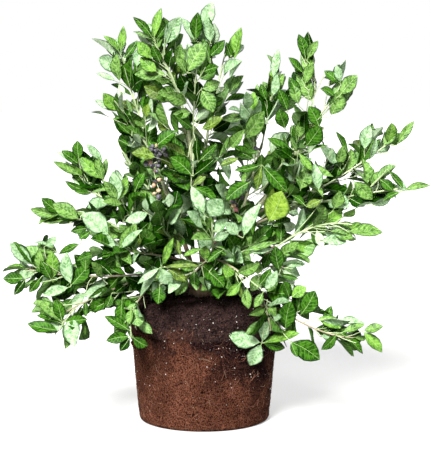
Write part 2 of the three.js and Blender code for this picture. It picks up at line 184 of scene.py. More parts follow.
def addStudio(settings):
    bpy.ops.mesh.primitive_plane_add(size=settings["floorSize"], location=(0, 0, 0))
    floor = bpy.context.object
    floor.name = "floor"
    paper, tree, shader = newMaterial("palePaper", settings["floorRoughness"], 0.0)
    shader.inputs["Emission Color"].default_value = settings["sky"]
    feed(tree, shader.inputs["Base Color"], seenOrNot(tree, settings["floorSeen"], settings["floorBounce"]))
    feed(tree, shader.inputs["Emission Strength"], seenOrNot(tree, settings["floorGlow"], 0.0))
    floor.data.materials.append(paper)
    world = bpy.data.worlds.new("studioSky")
    bpy.context.scene.world = world
    world.use_nodes = True
    tree = world.node_tree
    background = tree.nodes["Background"]
    background.inputs["Color"].default_value = settings["sky"]
    strength = seenOrNot(tree, settings["backdropStrength"], settings["skyStrength"])
    feed(tree, background.inputs["Strength"], strength)
    for name, values in suns.items():
        addSun(name, values)


bpy.context.scene.view_settings.view_transform = "Standard"
addCamera(cameraSettings)
addStudio(studio)
print("camera and studio ready")


def coordinates(tree, kind, place=(-1500, 300)):
    # the whole coordinate and its three parts
    where = addNode(tree, "ShaderNodeTexCoord", place).outputs[kind]
    split = addNode(tree, "ShaderNodeSeparateXYZ", (place[0] + 200, place[1]))
    feed(tree, split.inputs[0], where)
    return where, split.outputs


def newGroup(name, inputs, outputs):
    group = bpy.data.node_groups.new(name, "ShaderNodeTree")
    for label, value in inputs.items():
        socket = group.interface.new_socket(label, in_out="INPUT", socket_type="NodeSocketFloat")
        socket.default_value = value
    for label in outputs:
        group.interface.new_socket(label, in_out="OUTPUT", socket_type="NodeSocketFloat")
    start = addNode(group, "NodeGroupInput", (-900, 0))
    end = addNode(group, "NodeGroupOutput", (700, 0))
    return group, start.outputs, end.inputs


def useGroup(tree, group, place=(0, 0), **values):
    made = addNode(tree, "ShaderNodeGroup", place)
    made.node_tree = group
    for label, value in values.items():
        feed(tree, made.inputs[label], value)
    return made.outputs


# the size input, the detail and the roughness of each noise
patchNoises = {"Patch": ("Scale", 3.0, 0.55), "Fine": ("Grain", 4.0, 0.65)}


def makePatches():
    # soft patches over a surface, and a finer grain inside them
    inputs = {"Scale": 60.0, "Grain": 900.0, "Sharp": 0.25}
    group, given, wanted = newGroup("patches", inputs, tuple(patchNoises))
    where = addNode(group, "ShaderNodeTexCoord", (-900, 300)).outputs["Object"]
    low = compute(group, "SUBTRACT", 0.5, given["Sharp"], place=(-400, 400))
    high = compute(group, "ADD", 0.5, given["Sharp"], place=(-400, 250))
    for row, (name, (size, detail, roughness)) in enumerate(patchNoises.items()):
        down = 200 - 300 * row
        noise = addNode(group, "ShaderNodeTexNoise", (-600, down), Detail=detail, Roughness=roughness)
        feed(group, noise.inputs["Vector"], where)
        feed(group, noise.inputs["Scale"], given[size])
        feed(group, wanted[name], softStep(group, noise.outputs["Fac"], low, high, (-150, down)))
    return group


def makeVeins():
    # side veins that run forward from the rib of a leaf, by its own UV map
    inputs = {"Pairs": 7.0, "Lean": 3.0, "Width": 0.16, "RimStart": 0.37, "RimEnd": 0.5}
    group, given, wanted = newGroup("sideVeins", inputs, ("Vein", "Height", "Rim"))
    _, parts = coordinates(group, "UV", (-900, 300))
    side = compute(group, "ABSOLUTE", compute(group, "SUBTRACT", parts["X"], 0.5), place=(-360, 350))
    leant = compute(group, "MULTIPLY", side, given["Lean"], place=(-200, 350))
    along = compute(group, "MULTIPLY", parts["Y"], given["Pairs"], place=(-360, 150))
    phase = compute(group, "SUBTRACT", along, leant, place=(-40, 250))
    wave = compute(group, "PINGPONG", phase, 0.5, place=(120, 250))
    feed(group, wanted["Vein"], softStep(group, wave, 0.0, given["Width"], (300, 250), (1.0, 0.0)))
    feed(group, wanted["Height"], wave)
    feed(group, wanted["Rim"], softStep(group, side, given["RimStart"], given["RimEnd"], (300, -50)))
    return group


patches = makePatches()
sideVeins = makeVeins()


def addBump(tree, shader, height, strength, distance):
    bump = addNode(tree, "ShaderNodeBump", (-200, -300), Strength=strength, Distance=distance)
    feed(tree, bump.inputs["Height"], height)
    feed(tree, shader.inputs["Normal"], bump.outputs["Normal"])


leafFinish = {"Scale": 110.0, "Grain": 330.0, "Sharp": 0.11}
leafMottle = {"patch": 0.55, "fine": 0.45, "rim": 0.3, "bump": 0.6, "depth": 0.0009}


def leafMaterial(name, low, high, vein, roughness, sheen, veinShare):
    # a leaf's face: mottled green, paler side veins, a darker rim and a slight quilting
    material, tree, shader = newMaterial(name, roughness, sheen)
    tone = useGroup(tree, patches, (-1100, 200), **leafFinish)
    veins = useGroup(tree, sideVeins, (-1100, -150))
    patch = compute(tree, "MULTIPLY", tone["Patch"], leafMottle["patch"], place=(-1000, 0))
    mottle = compute(tree, "MULTIPLY_ADD", tone["Fine"], leafMottle["fine"], patch, place=(-900, 0))
    green = blendColours(tree, mottle, low, high, (-600, 200))
    share = compute(tree, "MULTIPLY", veins["Vein"], veinShare, place=(-600, -50))
    veined = blendColours(tree, share, green, vein, (-380, 150))
    edge = tuple(value * leafMottle["rim"] for value in low)
    feed(tree, shader.inputs["Base Color"], blendColours(tree, veins["Rim"], veined, edge, (-180, 150)))
    addBump(tree, shader, veins["Height"], leafMottle["bump"], leafMottle["depth"])
    return material


plainFinish = {"Sharp": 0.22, "patch": 0.5, "fine": 0.5}


def plainMaterial(name, low, high, roughness, scale, grain, bump, distance):
    # patches and grain in two tones, with the grain as a low relief
    material, tree, shader = newMaterial(name, roughness)
    finish = plainFinish
    tone = useGroup(tree, patches, (-900, 200), Scale=scale, Grain=grain, Sharp=finish["Sharp"])
    patch = compute(tree, "MULTIPLY", tone["Patch"], finish["patch"], place=(-780, -60))
    both = compute(tree, "MULTIPLY_ADD", tone["Fine"], finish["fine"], patch, place=(-640, 100))
    feed(tree, shader.inputs["Base Color"], blendColours(tree, both, low, high, (-400, 200)))
    addBump(tree, shader, tone["Fine"], bump, distance)
    return material


ball = {
    "footRadius": 120.0,
    "wallSlope": 0.088,
    "rootMatHeight": 165.0,
    "soilHeight": 228.0,
    "soilRise": 5.0,
    "soilProud": 2.5,
    "shoulderRadius": 136.0,
}

caneRule = {"sunk": 9.0, "rise": 0.8, "lean": 0.7, "footReach": 15.0}
bend = 0.5
onwardShare = 0.6
sidewaysShare = 0.35
tipJoin = 1.0

# foot and tip diameters, and the straight steps of a shoot's line
caneSize = (10.0, 5.4, 5)
boughSize = (5.4, 4.8, 4)
stemSize = (3.8, 2.6, 4)
twigSize = (1.8, 1.4, 1)
fineSize = (1.5, 1.1, 1)
ladenSize = (1.9, 1.3, 8)
spraySize = (1.8, 1.4, 6)

# foot bearing and reach, then bearing and reach of the tip and its height above the soil
canes = {
    "cane_centre": (0, 0, 228, 40, 310),
    "cane_left": (150, 15, 156, 110, 280),
    "cane_low_left": (210, 15, 216, 125, 50),
    "cane_right": (30, 15, 346, 160, 255),
    "cane_low_right": (330, 15, 318, 175, -5),
    "cane_front": (270, 15, 277, 125, 95),
    "cane_back": (90, 15, 84, 135, 185),
}

# the limb it leaves and where along it, then bearing, reach and height of its tip
boughs = {
    "bough_top": ("cane_centre", 0.45, 83, 55, 310),
    "bough_left": ("cane_left", 0.42, 171, 135, 160),
    "bough_left_mid": ("cane_low_left", 0.5, 200, 130, 110),
    "bough_upper_right": ("cane_right", 0.45, 23, 115, 270),
    "bough_right": ("cane_right", 0.38, 349, 160, 165),
    "bough_right_low": ("cane_low_right", 0.5, 328, 145, 95),
    "bough_front_left": ("cane_front", 0.45, 242, 120, 85),
    "bough_back_left": ("cane_back", 0.4, 131, 175, 165),
    "bough_back_right": ("cane_back", 0.35, 45, 175, 160),
    "bough_back_top": ("cane_back", 0.55, 110, 125, 325),
}

masses = {
    "top_left": ("cane_centre", 1, 207, 128, 500),
    "top_front": ("cane_centre", 0.8, 267, 115, 460),
    "top_centre": ("bough_top", 1, 85, 40, 535),
    "top_right": ("bough_top", 0.75, 57, 95, 495),
    "upper_left": ("cane_left", 1, 162, 165, 485),
    "outer_left": ("cane_left", 0.8, 190, 195, 395),
    "right_inner": ("bough_upper_right", 1, 24, 150, 450),
    "centre_right": ("bough_upper_right", 0.7, 325, 80, 380),
    "right_high": ("cane_right", 1, 353, 187, 478),
    "right_outer": ("cane_right", 0.72, 340, 280, 410),
    "far_right_high": ("bough_right", 0.8, 4, 385, 315),
    "far_right": ("bough_right", 1, 350, 405, 210),
    "inner_right": ("bough_right", 0.55, 323, 215, 265),
    "right_mid": ("bough_right_low", 1, 342, 330, 130),
    "low_right": ("cane_low_right", 1, 339, 335, -58),
    "hanging_right": ("cane_low_right", 0.8, 304, 195, -88),
    "left_high": ("bough_left", 1, 170, 265, 252),
    "left_mid": ("bough_left_mid", 1, 189, 315, 165),
    "left_upright": ("bough_left_mid", 0.7, 216, 195, 250),
    "low_left": ("cane_low_left", 1, 193, 372, 72),
    "low_left_droop": ("cane_low_left", 0.88, 206, 330, -40),
    "under_left": ("cane_low_left", 0.7, 233, 230, -55),
    "front_left": ("bough_front_left", 1, 229, 285, 120),
    "front_left_high": ("bough_front_left", 0.6, 242, 205, 220),
    "front_centre": ("cane_front", 1, 271, 195, 215),
    "front_right": ("cane_front", 0.8, 295, 235, 40),
    "front_low": ("cane_front", 0.75, 254, 195, 20),
    "right_low_inner": ("bough_right_low", 0.55, 316, 225, 45),
    "left_low_inner": ("cane_low_left", 0.45, 186, 185, 5),
    "fruit_left": ("cane_centre", 0.5, 228, 110, 280),
    "fruit_right": ("cane_right", 0.25, 300, 125, 250),
    "back_left_low": ("bough_back_left", 1, 147, 365, 80),
    "back_left_high": ("bough_back_left", 0.7, 136, 265, 325),
    "back_low": ("cane_back", 1, 96, 300, 70),
    "back_high": ("bough_back_top", 1, 104, 155, 445),
    "back_mid": ("bough_back_top", 0.6, 78, 240, 300),
    "back_right_low": ("bough_back_right", 1, 35, 360, 75),
    "back_right_high": ("bough_back_right", 0.7, 36, 280, 335),
    "back_left_mid": ("cane_back", 0.6, 121, 315, 185),
    "back_right_mid": ("cane_back", 0.5, 56, 320, 200),
}

twigRule = {
    "spacing": 50.0,
    "places": (0.18, 0.88),
    "footShare": 0.42,
    "tipShare": 0.2,
    "shareSpan": (0.85, 1.15),
    "shortest": 32.0,
    "longest": 90.0,
    "spread": (26.0, 38.0),
    "rollSpan": (0.0, 30.0),
    "upturn": 0.1,
    "probes": (0.4, 0.7, 1.0),
    "tries": 6,
    "seed": 7919,
}

# the same rule carried on to finer side twigs, on the stems and on their twigs
fineRule = {
    "stemSpacing": 100.0,
    "twigSpacing": 82.0,
    "places": (0.1, 0.86),
    "length": (26.0, 52.0),
    "spread": (24.0, 42.0),
    "tries": 5,
    "seed": 6151,
}

# short leafy shoots straight off the canes and boughs, inside the crown
innerRule = {
    "spacing": 70.0,
    "lowSpacing": 38.0,
    "lowBelow": 420.0,
    "places": (0.22, 0.98),
    "length": (45.0, 105.0),
    "spread": (40.0, 65.0),
    "tries": 8,
    "seed": 3571,
}

leafRule = {
    "tipReach": 52.8,
    "length": 56.0,
    "lengthSpan": (0.60, 1.18),
    "tipSize": 0.9,
    "sizeGain": 0.15,
    "gainLeaves": 4,
    "tipGap": 0.5,
    "spacing": 11.5,
    "lastPlace": 0.1,
    "tipTilt": 12.0,
    "spread": (22.0, 54.0),
    "rollSpan": (-18.0, 18.0),
    "flatten": 0.4,
    "faceAcross": 0.5,
    "faceFront": 110.0,
    "faceUp": 0.32,
    "faceTip": 0.25,
    "faceOut": (0.5, 1.3),
    "faceIn": (-1.2, -0.5),
    "faceInShare": 0.3,
    "faceSpan": (-68.0, 68.0),
    "apart": 8.8,
    "sprayTip": 40.0,
    "tries": 4,
    "seed": 104729,
    "shootSeed": 1299709,
}

# the first stem and the first limb take this number as the factor of their seeds
firstOrder = 3

# places in the three tables below are steps across and down the front view, and a depth
sight = {"middle": (215.5, 235.5), "step": 1.84}

# sprays that fill the outline: the stem each leaves and where along it, and the place of its tip
sprays = (
    ("top_left", 0.55, (138, 28, -50)),
    ("top_left", 0.3, (177, 20, -15)),
    ("top_left", 0.1, (150, 84, -70)),
    ("upper_left", 0.35, (150, 60, 5)),
    ("upper_left", 0.12, (148, 100, -10)),
    ("upper_left", 0.6, (106, 40, 60)),
    ("left_high", 0.55, (76, 141, 15)),
    ("left_high", 0.9, (53, 161, 40)),
    ("left_high", 0.25, (104, 158, 30)),
    ("low_left", 0.8, (11, 243, -90)),
    ("low_left", 0.62, (45, 237, -60)),
    ("low_left", 0.9, (3, 276, -125)),
    ("low_left", 0.45, (68, 248, -90)),
    ("low_left_droop", 0.78, (72, 346, -120)),
    ("low_left_droop", 0.7, (36, 302, -110)),
    ("low_left_droop", 0.95, (27, 322, -145)),
    ("low_left_droop", 0.6, (88, 338, -110)),
    ("under_left", 0.85, (107, 344, -150)),
    ("under_left", 0.8, (148, 346, -170)),
    ("under_left", 0.6, (104, 317, -120)),
    ("low_right", 0.15, (313, 288, -110)),
    ("low_right", 0.45, (320, 358, -150)),
    ("low_right", 0.1, (287, 326, -140)),
    ("right_mid", 0.35, (346, 240, -105)),
    ("front_left", 0.8, (80, 259, -150)),
    ("hanging_right", 0.2, (284, 319, -150)),
    ("hanging_right", 0.1, (293, 300, -125)),
    ("hanging_right", 0.3, (266, 299, -155)),
)

# leaves that stand out at the front, on twigs of their own: the stem each twig leaves and where
# along it, the place of its tip, then each leaf's root along it, its tip, its tone and its width
# a darker tone here partly paints the shade on a leaf, and a paler one the light on it
frontSprays = (
    ("hanging_right", 0.45, (262, 343, -122), (
        (1, (228, 334), "mint", 0.5), (1, (268, 321), "mint", 0.5), (1, (250, 367), "mint", 0.6),
        (1, (300, 334), "fresh", 0.45), (1, (285, 348), "dark", 0.45),
    )),
    ("right_mid", 0.7, (347, 231, -100), ((1, (383, 233), "mid", 0.55),)),
    ("right_mid", 0.4, (320, 240, -96), ((1, (347, 242), "mint", 0.45),)),
    ("low_right", 0.12, (300, 316, -125), ((1, (315, 291), "dark", 0.65),)),
    ("hanging_right", 0.2, (285, 331, -130), ((1, (291, 301), "dark", 0.62),)),
    ("low_right", 0.04, (290, 298, -120), (
        (1, (306, 287), "fresh", 0.7), (0.95, (283, 281), "dark", 0.6),
    )),
    ("low_right", 0.6, (341, 333, -138), (
        (1, (363, 322), "mid", 0.4), (0.8, (322, 350), "dark", 0.5), (1, (366, 352), "dark", 0.38),
    )),
    ("low_right", 0.3, (316, 317, -132), ((1, (341, 328), "fresh", 0.5),)),
    ("low_right", 0.9, (362, 331, -142), ((1, (384, 351), "fresh", 0.5), (1, (382, 325), "mid", 0.5))),
    ("hanging_right", 0.3, (290, 341, -140), (
        (1, (320, 360), "dark", 0.62), (1, (298, 356), "dark", 0.5),
    )),
    ("low_left", 0.7, (42, 276, -108), ((1, (30, 293), "dark", 0.45), (0.9, (38, 250), "mid", 0.4))),
    ("low_left", 0.88, (26, 278, -112), ((1, (3, 278), "dark", 0.6), (0.95, (14, 295), "deep", 0.4))),
    ("low_left", 0.78, (33, 266, -114), ((1, (10, 243), "mint", 0.45), (0.95, (17, 242), "dark", 0.4))),
    ("low_left", 0.62, (52, 281, -110), ((1, (51, 251), "fresh", 0.5), (1, (40, 262), "dark", 0.5))),
    ("low_left", 0.52, (70, 287, -112), (
        (0.9, (66, 253), "mint", 0.42), (1, (43, 294), "mint", 0.42), (0.95, (89, 265), "dark", 0.6),
    )),
    ("low_left", 0.35, (108, 284, -112), (
        (0.95, (83, 296), "mint", 0.45), (0.5, (92, 262), "mid", 0.5),
    )),
    ("low_left_droop", 0.8, (62, 324, -138), (
        (0.95, (38, 299), "mid", 0.42), (0.95, (74, 345), "dark", 0.75), (0.9, (87, 318), "dark", 0.48),
        (0.95, (56, 300), "dark", 0.5), (1, (37, 312), "dark", 0.4),
    )),
    ("low_left_droop", 0.75, (59, 331, -140), ((1, (28, 322), "dark", 0.45),)),
    ("low_left_droop", 0.45, (95, 296, -112), ((1, (96, 313), "dark", 0.9),)),
    ("low_left_droop", 0.6, (85, 298, -116), ((1, (86, 317), "dark", 0.32),)),
    ("under_left", 0.5, (122, 298, -125), ((1, (121, 328), "dark", 0.55),)),
    ("under_left", 0.3, (112, 293, -118), ((1, (106, 308), "dark", 0.6),)),
    ("under_left", 0.9, (131, 336, -160), (
        (0.8, (105, 316), "dark", 0.35), (1, (107, 341), "dark", 0.5), (1, (148, 347), "dark", 0.6),
        (1, (119, 350), "deep", 0.6),
    )),
    ("left_mid", 0.9, (60, 215, -52), ((1, (30, 209), "mid", 0.36), (0.85, (42, 198), "dark", 0.5))),
    ("left_mid", 0.65, (80, 220, -62), ((1, (53, 203), "mid", 0.55),)),
    ("left_mid", 0.6, (92, 230, -60), ((0.85, (71, 232), "dark", 0.45), (1, (79, 239), "dark", 0.5))),
    ("front_left", 0.85, (116, 250, -185), (
        (0.75, (100, 233), "mint", 0.5), (0.25, (139, 229), "mint", 0.3),
        (0.5, (136, 224), "mid", 0.55),
    )),
    ("front_left", 0.6, (110, 236, -188), ((1, (82, 213), "mint", 0.62),)),
    ("left_upright", 0.8, (118, 202, -95), (
        (1, (113, 171), "mint", 0.45), (1, (104, 181), "mid", 0.4), (0.9, (128, 176), "fresh", 0.4),
    )),
    ("left_upright", 0.5, (123, 222, -95), (
        (1, (147, 213), "mint", 0.5), (1, (120, 205), "dark", 0.7),
    )),
    ("left_high", 0.7, (79, 161, 15), ((1, (77, 141), "dark", 0.6),)),
    ("left_high", 0.9, (82, 176, 20), ((1, (53, 161), "mid", 0.38),)),
    ("left_high", 0.4, (104, 180, 10), (
        (1, (79, 157), "fresh", 0.42), (0.9, (95, 157), "mid", 0.42), (1, (106, 158), "mid", 0.35),
    )),
    ("left_high", 0.5, (90, 192, 15), ((1, (65, 181), "dark", 0.28), (0.6, (75, 191), "dark", 0.4))),
    ("top_left", 0.9, (154, 39, -58), (
        (1, (160, 8), "fresh", 0.32), (1, (133, 18), "dark", 0.3), (0.85, (135, 28), "mid", 0.5),
        (0.85, (168, 22), "dark", 0.32),
    )),
    ("top_left", 0.8, (164, 46, -55), ((1, (181, 17), "mint", 0.52),)),
    ("top_left", 0.6, (153, 60, -52), ((1, (138, 41), "fresh", 0.6), (0.55, (152, 46), "dark", 0.45))),
    ("top_left", 0.45, (158, 73, -50), ((1, (141, 57), "fresh", 0.62),)),
    ("top_front", 0.93, (187, 73, -95), ((1, (205, 42), "mid", 0.66), (1, (176, 58), "mid", 0.5))),
    ("top_centre", 0.8, (195, 42, 45), ((1, (184, 17), "mint", 0.42), (0.95, (198, 12), "dark", 0.42))),
    ("top_centre", 0.92, (203, 30, 52), ((1, (212, 2), "mint", 0.52),)),
    ("top_centre", 0.85, (211, 44, 50), ((1, (206, 19), "mint", 0.55),)),
    ("top_centre", 0.6, (208, 58, 48), ((1, (225, 40), "dark", 0.45),)),
    ("top_right", 0.9, (234, 61, 65), ((1, (238, 27), "fresh", 0.44), (0.9, (226, 42), "dark", 0.4))),
    ("top_front", 0.35, (200, 130, -75), ((1, (223, 118), "olive", 0.62),)),
    ("top_front", 0.2, (188, 157, -84), ((1, (164, 144), "olive", 0.5),)),
    ("fruit_left", 0.7, (157, 158, -112), ((1, (133, 150), "olive", 0.66),)),
    ("top_front", 0.6, (202, 88, -80), ((0.85, (220, 82), "mid", 0.6), (0.9, (213, 111), "mid", 0.65))),
    ("upper_left", 0.9, (120, 53, 48), (
        (1, (106, 34), "fresh", 0.4), (1, (123, 27), "fresh", 0.32), (0.5, (137, 40), "dark", 0.36),
    )),
    ("upper_left", 0.6, (117, 82, 40), ((1, (98, 71), "mint", 0.35), (0.8, (114, 56), "mid", 0.5))),
    ("upper_left", 0.35, (121, 112, 38), ((1, (95, 100), "mint", 0.28), (1, (103, 93), "fresh", 0.5))),
    ("outer_left", 0.55, (132, 136, 5), ((0.95, (117, 122), "dark", 0.38),)),
    ("outer_left", 0.4, (131, 146, 2), ((1, (118, 139), "dark", 0.4),)),
    ("right_high", 0.93, (306, 60, -42), (
        (1, (299, 34), "dark", 0.42), (0.95, (318, 41), "mid", 0.42),
    )),
    ("right_high", 0.78, (304, 74, -44), ((1, (289, 57), "dark", 0.6),)),
    ("right_high", 0.62, (304, 86, -46), ((1, (313, 62), "mid", 0.55),)),
    ("right_high", 0.6, (300, 98, -46), ((1, (290, 77), "dark", 0.5),)),
    ("right_high", 0.4, (299, 106, -48), ((1, (292, 84), "mid", 0.55),)),
    ("right_inner", 0.9, (273, 80, 62), ((1, (277, 49), "mint", 0.34),)),
    ("right_inner", 0.55, (272, 98, 58), ((1, (277, 74), "mint", 0.42),)),
    ("right_inner", 0.4, (267, 102, 52), ((1, (261, 84), "dark", 0.42),)),
    ("right_outer", 0.88, (339, 96, -85), (
        (1, (357, 75), "mid", 0.6), (0.75, (323, 87), "dark", 0.62),
    )),
    ("right_outer", 0.97, (341, 84, -84), ((1, (326, 70), "dark", 0.5), (1, (338, 66), "mint", 0.5))),
    ("right_outer", 0.7, (330, 117, -78), ((1, (342, 90), "mid", 0.6),)),
    ("right_outer", 0.5, (320, 129, -72), ((1, (310, 106), "dark", 0.72),)),
    ("far_right_high", 0.95, (396, 146, 4), (
        (1, (414, 121), "mid", 0.3), (0.1, (392, 123), "fresh", 0.62),
    )),
    ("far_right_high", 0.7, (364, 151, -6), ((1, (370, 125), "mint", 0.52),)),
    ("far_right_high", 0.45, (350, 156, -14), ((1, (336, 131), "dark", 0.3),)),
    ("far_right_high", 0.5, (340, 168, -18), ((1, (321, 147), "mint", 0.52), (1, (343, 146), "mid", 0.5))),
    ("far_right", 0.93, (402, 191, -68), ((1, (430, 184), "mid", 0.27), (1, (383, 200), "dark", 0.3))),
    ("far_right", 0.75, (378, 178, -64), ((1, (393, 191), "dark", 0.55),)),
    ("far_right", 0.6, (387, 169, -66), ((1, (404, 188), "dark", 0.32),)),
    ("far_right", 0.5, (353, 180, -60), ((1, (372, 200), "mid", 0.62),)),
    ("front_centre", 0.9, (205, 216, -195), (
        (1, (192, 187), "mint", 0.42), (0.5, (222, 199), "mint", 0.85),
    )),
    ("front_centre", 0.4, (205, 223, -190), ((1, (200, 198), "mint", 0.5),)),
    ("front_centre", 0.6, (243, 238, -185), (
        (1, (257, 203), "mint", 0.42), (0.9, (226, 222), "mint", 0.6),
    )),
    ("right_low_inner", 0.3, (262, 272, -98), (
        (1, (243, 262), "dark", 0.5), (1, (251, 291), "mid", 0.6), (0.9, (270, 252), "dark", 0.55),
    )),
    ("right_low_inner", 0.8, (279, 274, -114), (
        (1, (268, 292), "mid", 0.5), (1, (298, 279), "dark", 0.32), (0.8, (275, 246), "dark", 0.6),
    )),
    ("right_low_inner", 0.5, (258, 276, -104), ((1, (272, 291), "dark", 0.6), (1, (257, 260), "mid", 0.6))),
    ("left_high", 0.3, (104, 163, 8), ((1, (86, 144), "mint", 0.4),)),
    ("right_inner", 0.3, (286, 130, 24), ((1, (279, 109), "dark", 0.65),)),
    ("right_inner", 0.35, (288, 112, 30), ((1, (279, 89), "dark", 0.5),)),
    ("low_left", 0.48, (74, 297, -106), ((1, (61, 312), "dark", 0.6),)),
    ("low_left", 0.42, (86, 291, -110), ((1, (71, 305), "mint", 0.5),)),
    ("left_mid", 0.5, (81, 243, -72), ((1, (59, 254), "dark", 0.48),)),
    ("low_left", 0.74, (44, 247, -112), ((1, (56, 237), "mint", 0.5),)),
    ("front_low", 0.3, (161, 267, -190), (
        (1, (175, 240), "fresh", 0.32), (0.95, (198, 262), "olive", 0.22), (1, (171, 286), "mint", 0.75),
        (1, (137, 283), "mint", 0.26), (0.97, (136, 296), "mint", 0.22), (0.9, (186, 281), "olive", 0.5),
    )),
    ("front_low", 0.2, (181, 258, -180), ((1, (178, 240), "olive", 0.3), (1, (200, 248), "fresh", 0.3))),
    ("front_low", 0.6, (160, 284, -185), ((1, (158, 304), "dark", 0.75),)),
    ("front_low", 0.15, (194, 269, -160), ((1, (195, 289), "dark", 0.55),)),
    ("front_right", 0.15, (209, 272, -165), ((1, (224, 287), "dark", 0.75),)),
    ("front_right", 0.5, (242, 281, -195), ((1, (227, 296), "fresh", 0.5), (0.6, (259, 264), "mid", 0.42))),
    ("front_right", 0.75, (247, 286, -205), ((1, (248, 309), "mid", 0.5),)),
    ("front_right", 0.85, (258, 287, -205), ((1, (271, 269), "dark", 0.45),)),
    ("front_right", 0.95, (264, 291, -208), ((1, (254, 307), "mid", 0.5), (1, (277, 271), "mint", 0.45))),
    ("front_right", 0.3, (245, 250, -170), ((1, (273, 249), "mint", 0.25), (0.9, (276, 241), "mid", 0.22))),
    ("front_centre", 0.1, (206, 262, -168), ((1, (205, 246), "fresh", 0.75),)),
    ("front_centre", 0.15, (224, 249, -172), ((1, (207, 262), "dark", 0.4),)),
    ("front_centre", 0.3, (211, 241, -185), ((1, (229, 234), "mint", 0.55),)),
    ("top_front", 0.15, (193, 176, -96), (
        (1, (170, 157), "dark", 0.6), (1, (214, 159), "deep", 0.4), (1, (167, 168), "deep", 0.2),
    )),
    ("top_front", 0.25, (198, 162, -90), ((1, (217, 144), "dark", 0.34), (1, (197, 139), "deep", 0.36))),
    ("top_front", 0.1, (191, 187, -98), ((1, (206, 174), "olive", 0.38), (1, (218, 197), "dark", 0.6))),
    ("fruit_left", 0.8, (155, 147, -108), ((1, (175, 130), "dark", 0.58),)),
    ("centre_right", 0.1, (218, 166, -84), ((1, (237, 157), "olive", 0.4),)),
    ("centre_right", 0.45, (243, 140, -62), ((1, (266, 113), "mid", 0.62),)),
    ("centre_right", 0.15, (260, 152, -66), ((1, (241, 151), "dark", 0.42),)),
    ("inner_right", 0.75, (295, 160, -112), ((1, (268, 137), "dark", 0.36), (1, (276, 149), "deep", 0.5))),
    ("inner_right", 0.8, (298, 152, -112), ((1, (313, 170), "fresh", 0.4), (1, (291, 138), "mid", 0.35))),
    ("inner_right", 0.5, (319, 192, -100), ((1, (316, 164), "mint", 0.45),)),
    ("inner_right", 0.35, (307, 207, -96), ((1, (292, 195), "dark", 0.42),)),
    ("fruit_right", 0.7, (262, 165, -100), (
        (1, (288, 192), "dark", 0.42), (1, (235, 169), "dark", 0.28), (1, (257, 190), "olive", 0.4),
    )),
    ("fruit_right", 0.5, (251, 181, -92), ((1, (226, 200), "dark", 0.5),)),
    ("right_outer", 0.25, (305, 148, -80), ((1, (321, 126), "dark", 0.75),)),
    ("right_outer", 0.3, (309, 151, -74), ((1, (329, 145), "dark", 0.22),)),
    ("right_high", 0.2, (298, 140, -60), ((1, (302, 121), "mid", 0.6),)),
    ("right_mid", 0.2, (323, 199, -92), ((1, (306, 207), "olive", 0.5),)),
    ("right_mid", 0.3, (333, 211, -94), ((1, (340, 191), "mid", 0.7),)),
    ("inner_right", 0.3, (268, 223, -98), ((1, (282, 191), "gold", 0.8),)),
    ("inner_right", 0.6, (300, 191, -98), ((1, (309, 164), "mid", 0.72),)),
)

frontRule = {
    "face": (0.1, -1.0, 0.4),
    "sway": 0.4,
    "facing": (-26.0, 26.0),
    "depths": (-6, -14, 6, -8, 12, -2),
    "spots": (0.3, 0.55, 0.8),
    "fruitAhead": 8.0,
    "stemSpots": (0, 0.95, 16),
    "slack": 2.0,
    "seed": 2903,
}

# stems that show through the leaves at the front
shownStems = (
    "top_left", "upper_left", "top_front", "low_left", "far_right", "far_right_high", "right_mid",
)

# open sky between the sprays as seen from the front: two ends and a radius in steps
openings = (
    ((258, 15), (254, 72), 9), ((327, 25), (331, 56), 7), ((322, 80), (324, 92), 4),
    ((360, 104), (385, 112), 8), ((345, 122), (350, 132), 5), ((220, 52), (224, 72), 4),
    ((269, 117), (270, 129), 3), ((285, 118), (288, 128), 3), ((85, 128), (106, 136), 9),
    ((44, 178), (52, 190), 9), ((56, 230), (72, 232), 6), ((20, 225), (35, 232), 7),
    ((95, 322), (98, 345), 8), ((10, 310), (25, 300), 8), ((415, 155), (424, 165), 8),
    ((400, 210), (425, 205), 9), ((322, 258), (322, 280), 8), ((335, 300), (375, 306), 7),
    ((340, 365), (372, 362), 7), ((226, 183), (236, 174), 4), ((263, 180), (252, 196), 4),
    ((208, 137), (216, 130), 4), ((242, 158), (252, 161), 3), ((222, 6), (224, 32), 6),
    ((196, 98), (194, 110), 3), ((202, 74), (204, 82), 3), ((202, 128), (214, 132), 3),
    ((284, 46), (285, 66), 3), ((321, 60), (323, 106), 3), ((331, 116), (331, 136), 7),
    ((345, 118), (392, 100), 8), ((303, 96), (305, 108), 3), ((314, 150), (320, 158), 3),
    ((398, 122), (400, 130), 3), ((404, 150), (420, 136), 5), ((384, 160), (400, 152), 5),
    ((366, 167), (381, 166), 4), ((402, 172), (412, 178), 6), ((408, 196), (428, 196), 5),
    ((362, 214), (392, 212), 6), ((112, 132), (104, 152), 6), ((116, 158), (118, 166), 3),
    ((56, 180), (44, 168), 7), ((70, 196), (62, 190), 5), ((88, 238), (84, 246), 3),
    ((56, 260), (62, 252), 4), ((68, 310), (80, 300), 3), ((96, 322), (104, 338), 8),
    ((330, 350), (345, 362), 6), ((300, 322), (318, 326), 4), ((316, 262), (308, 278), 6),
    ((262, 198), (258, 214), 3), ((142, 298), (152, 316), 5), ((324, 296), (345, 308), 5),
    ((74, 203), (84, 206), 4), ((58, 177), (66, 176), 4), ((104, 140), (112, 160), 5),
    ((290, 36), (291, 46), 4), ((3, 261), (14, 263), 4), ((221, 72), (222, 84), 4),
    ((117, 145), (118, 158), 4), ((332, 222), (346, 218), 3), ((348, 246), (362, 246), 4),
)

clearances = {
    "space": 1.5, "limb": 2.0, "ball": 3.0, "box": 4.0, "fruit": 16.0, "stem": 5.0, "front": 8.5,
}

randomRule = {"factor": 48271, "range": 2147483647}


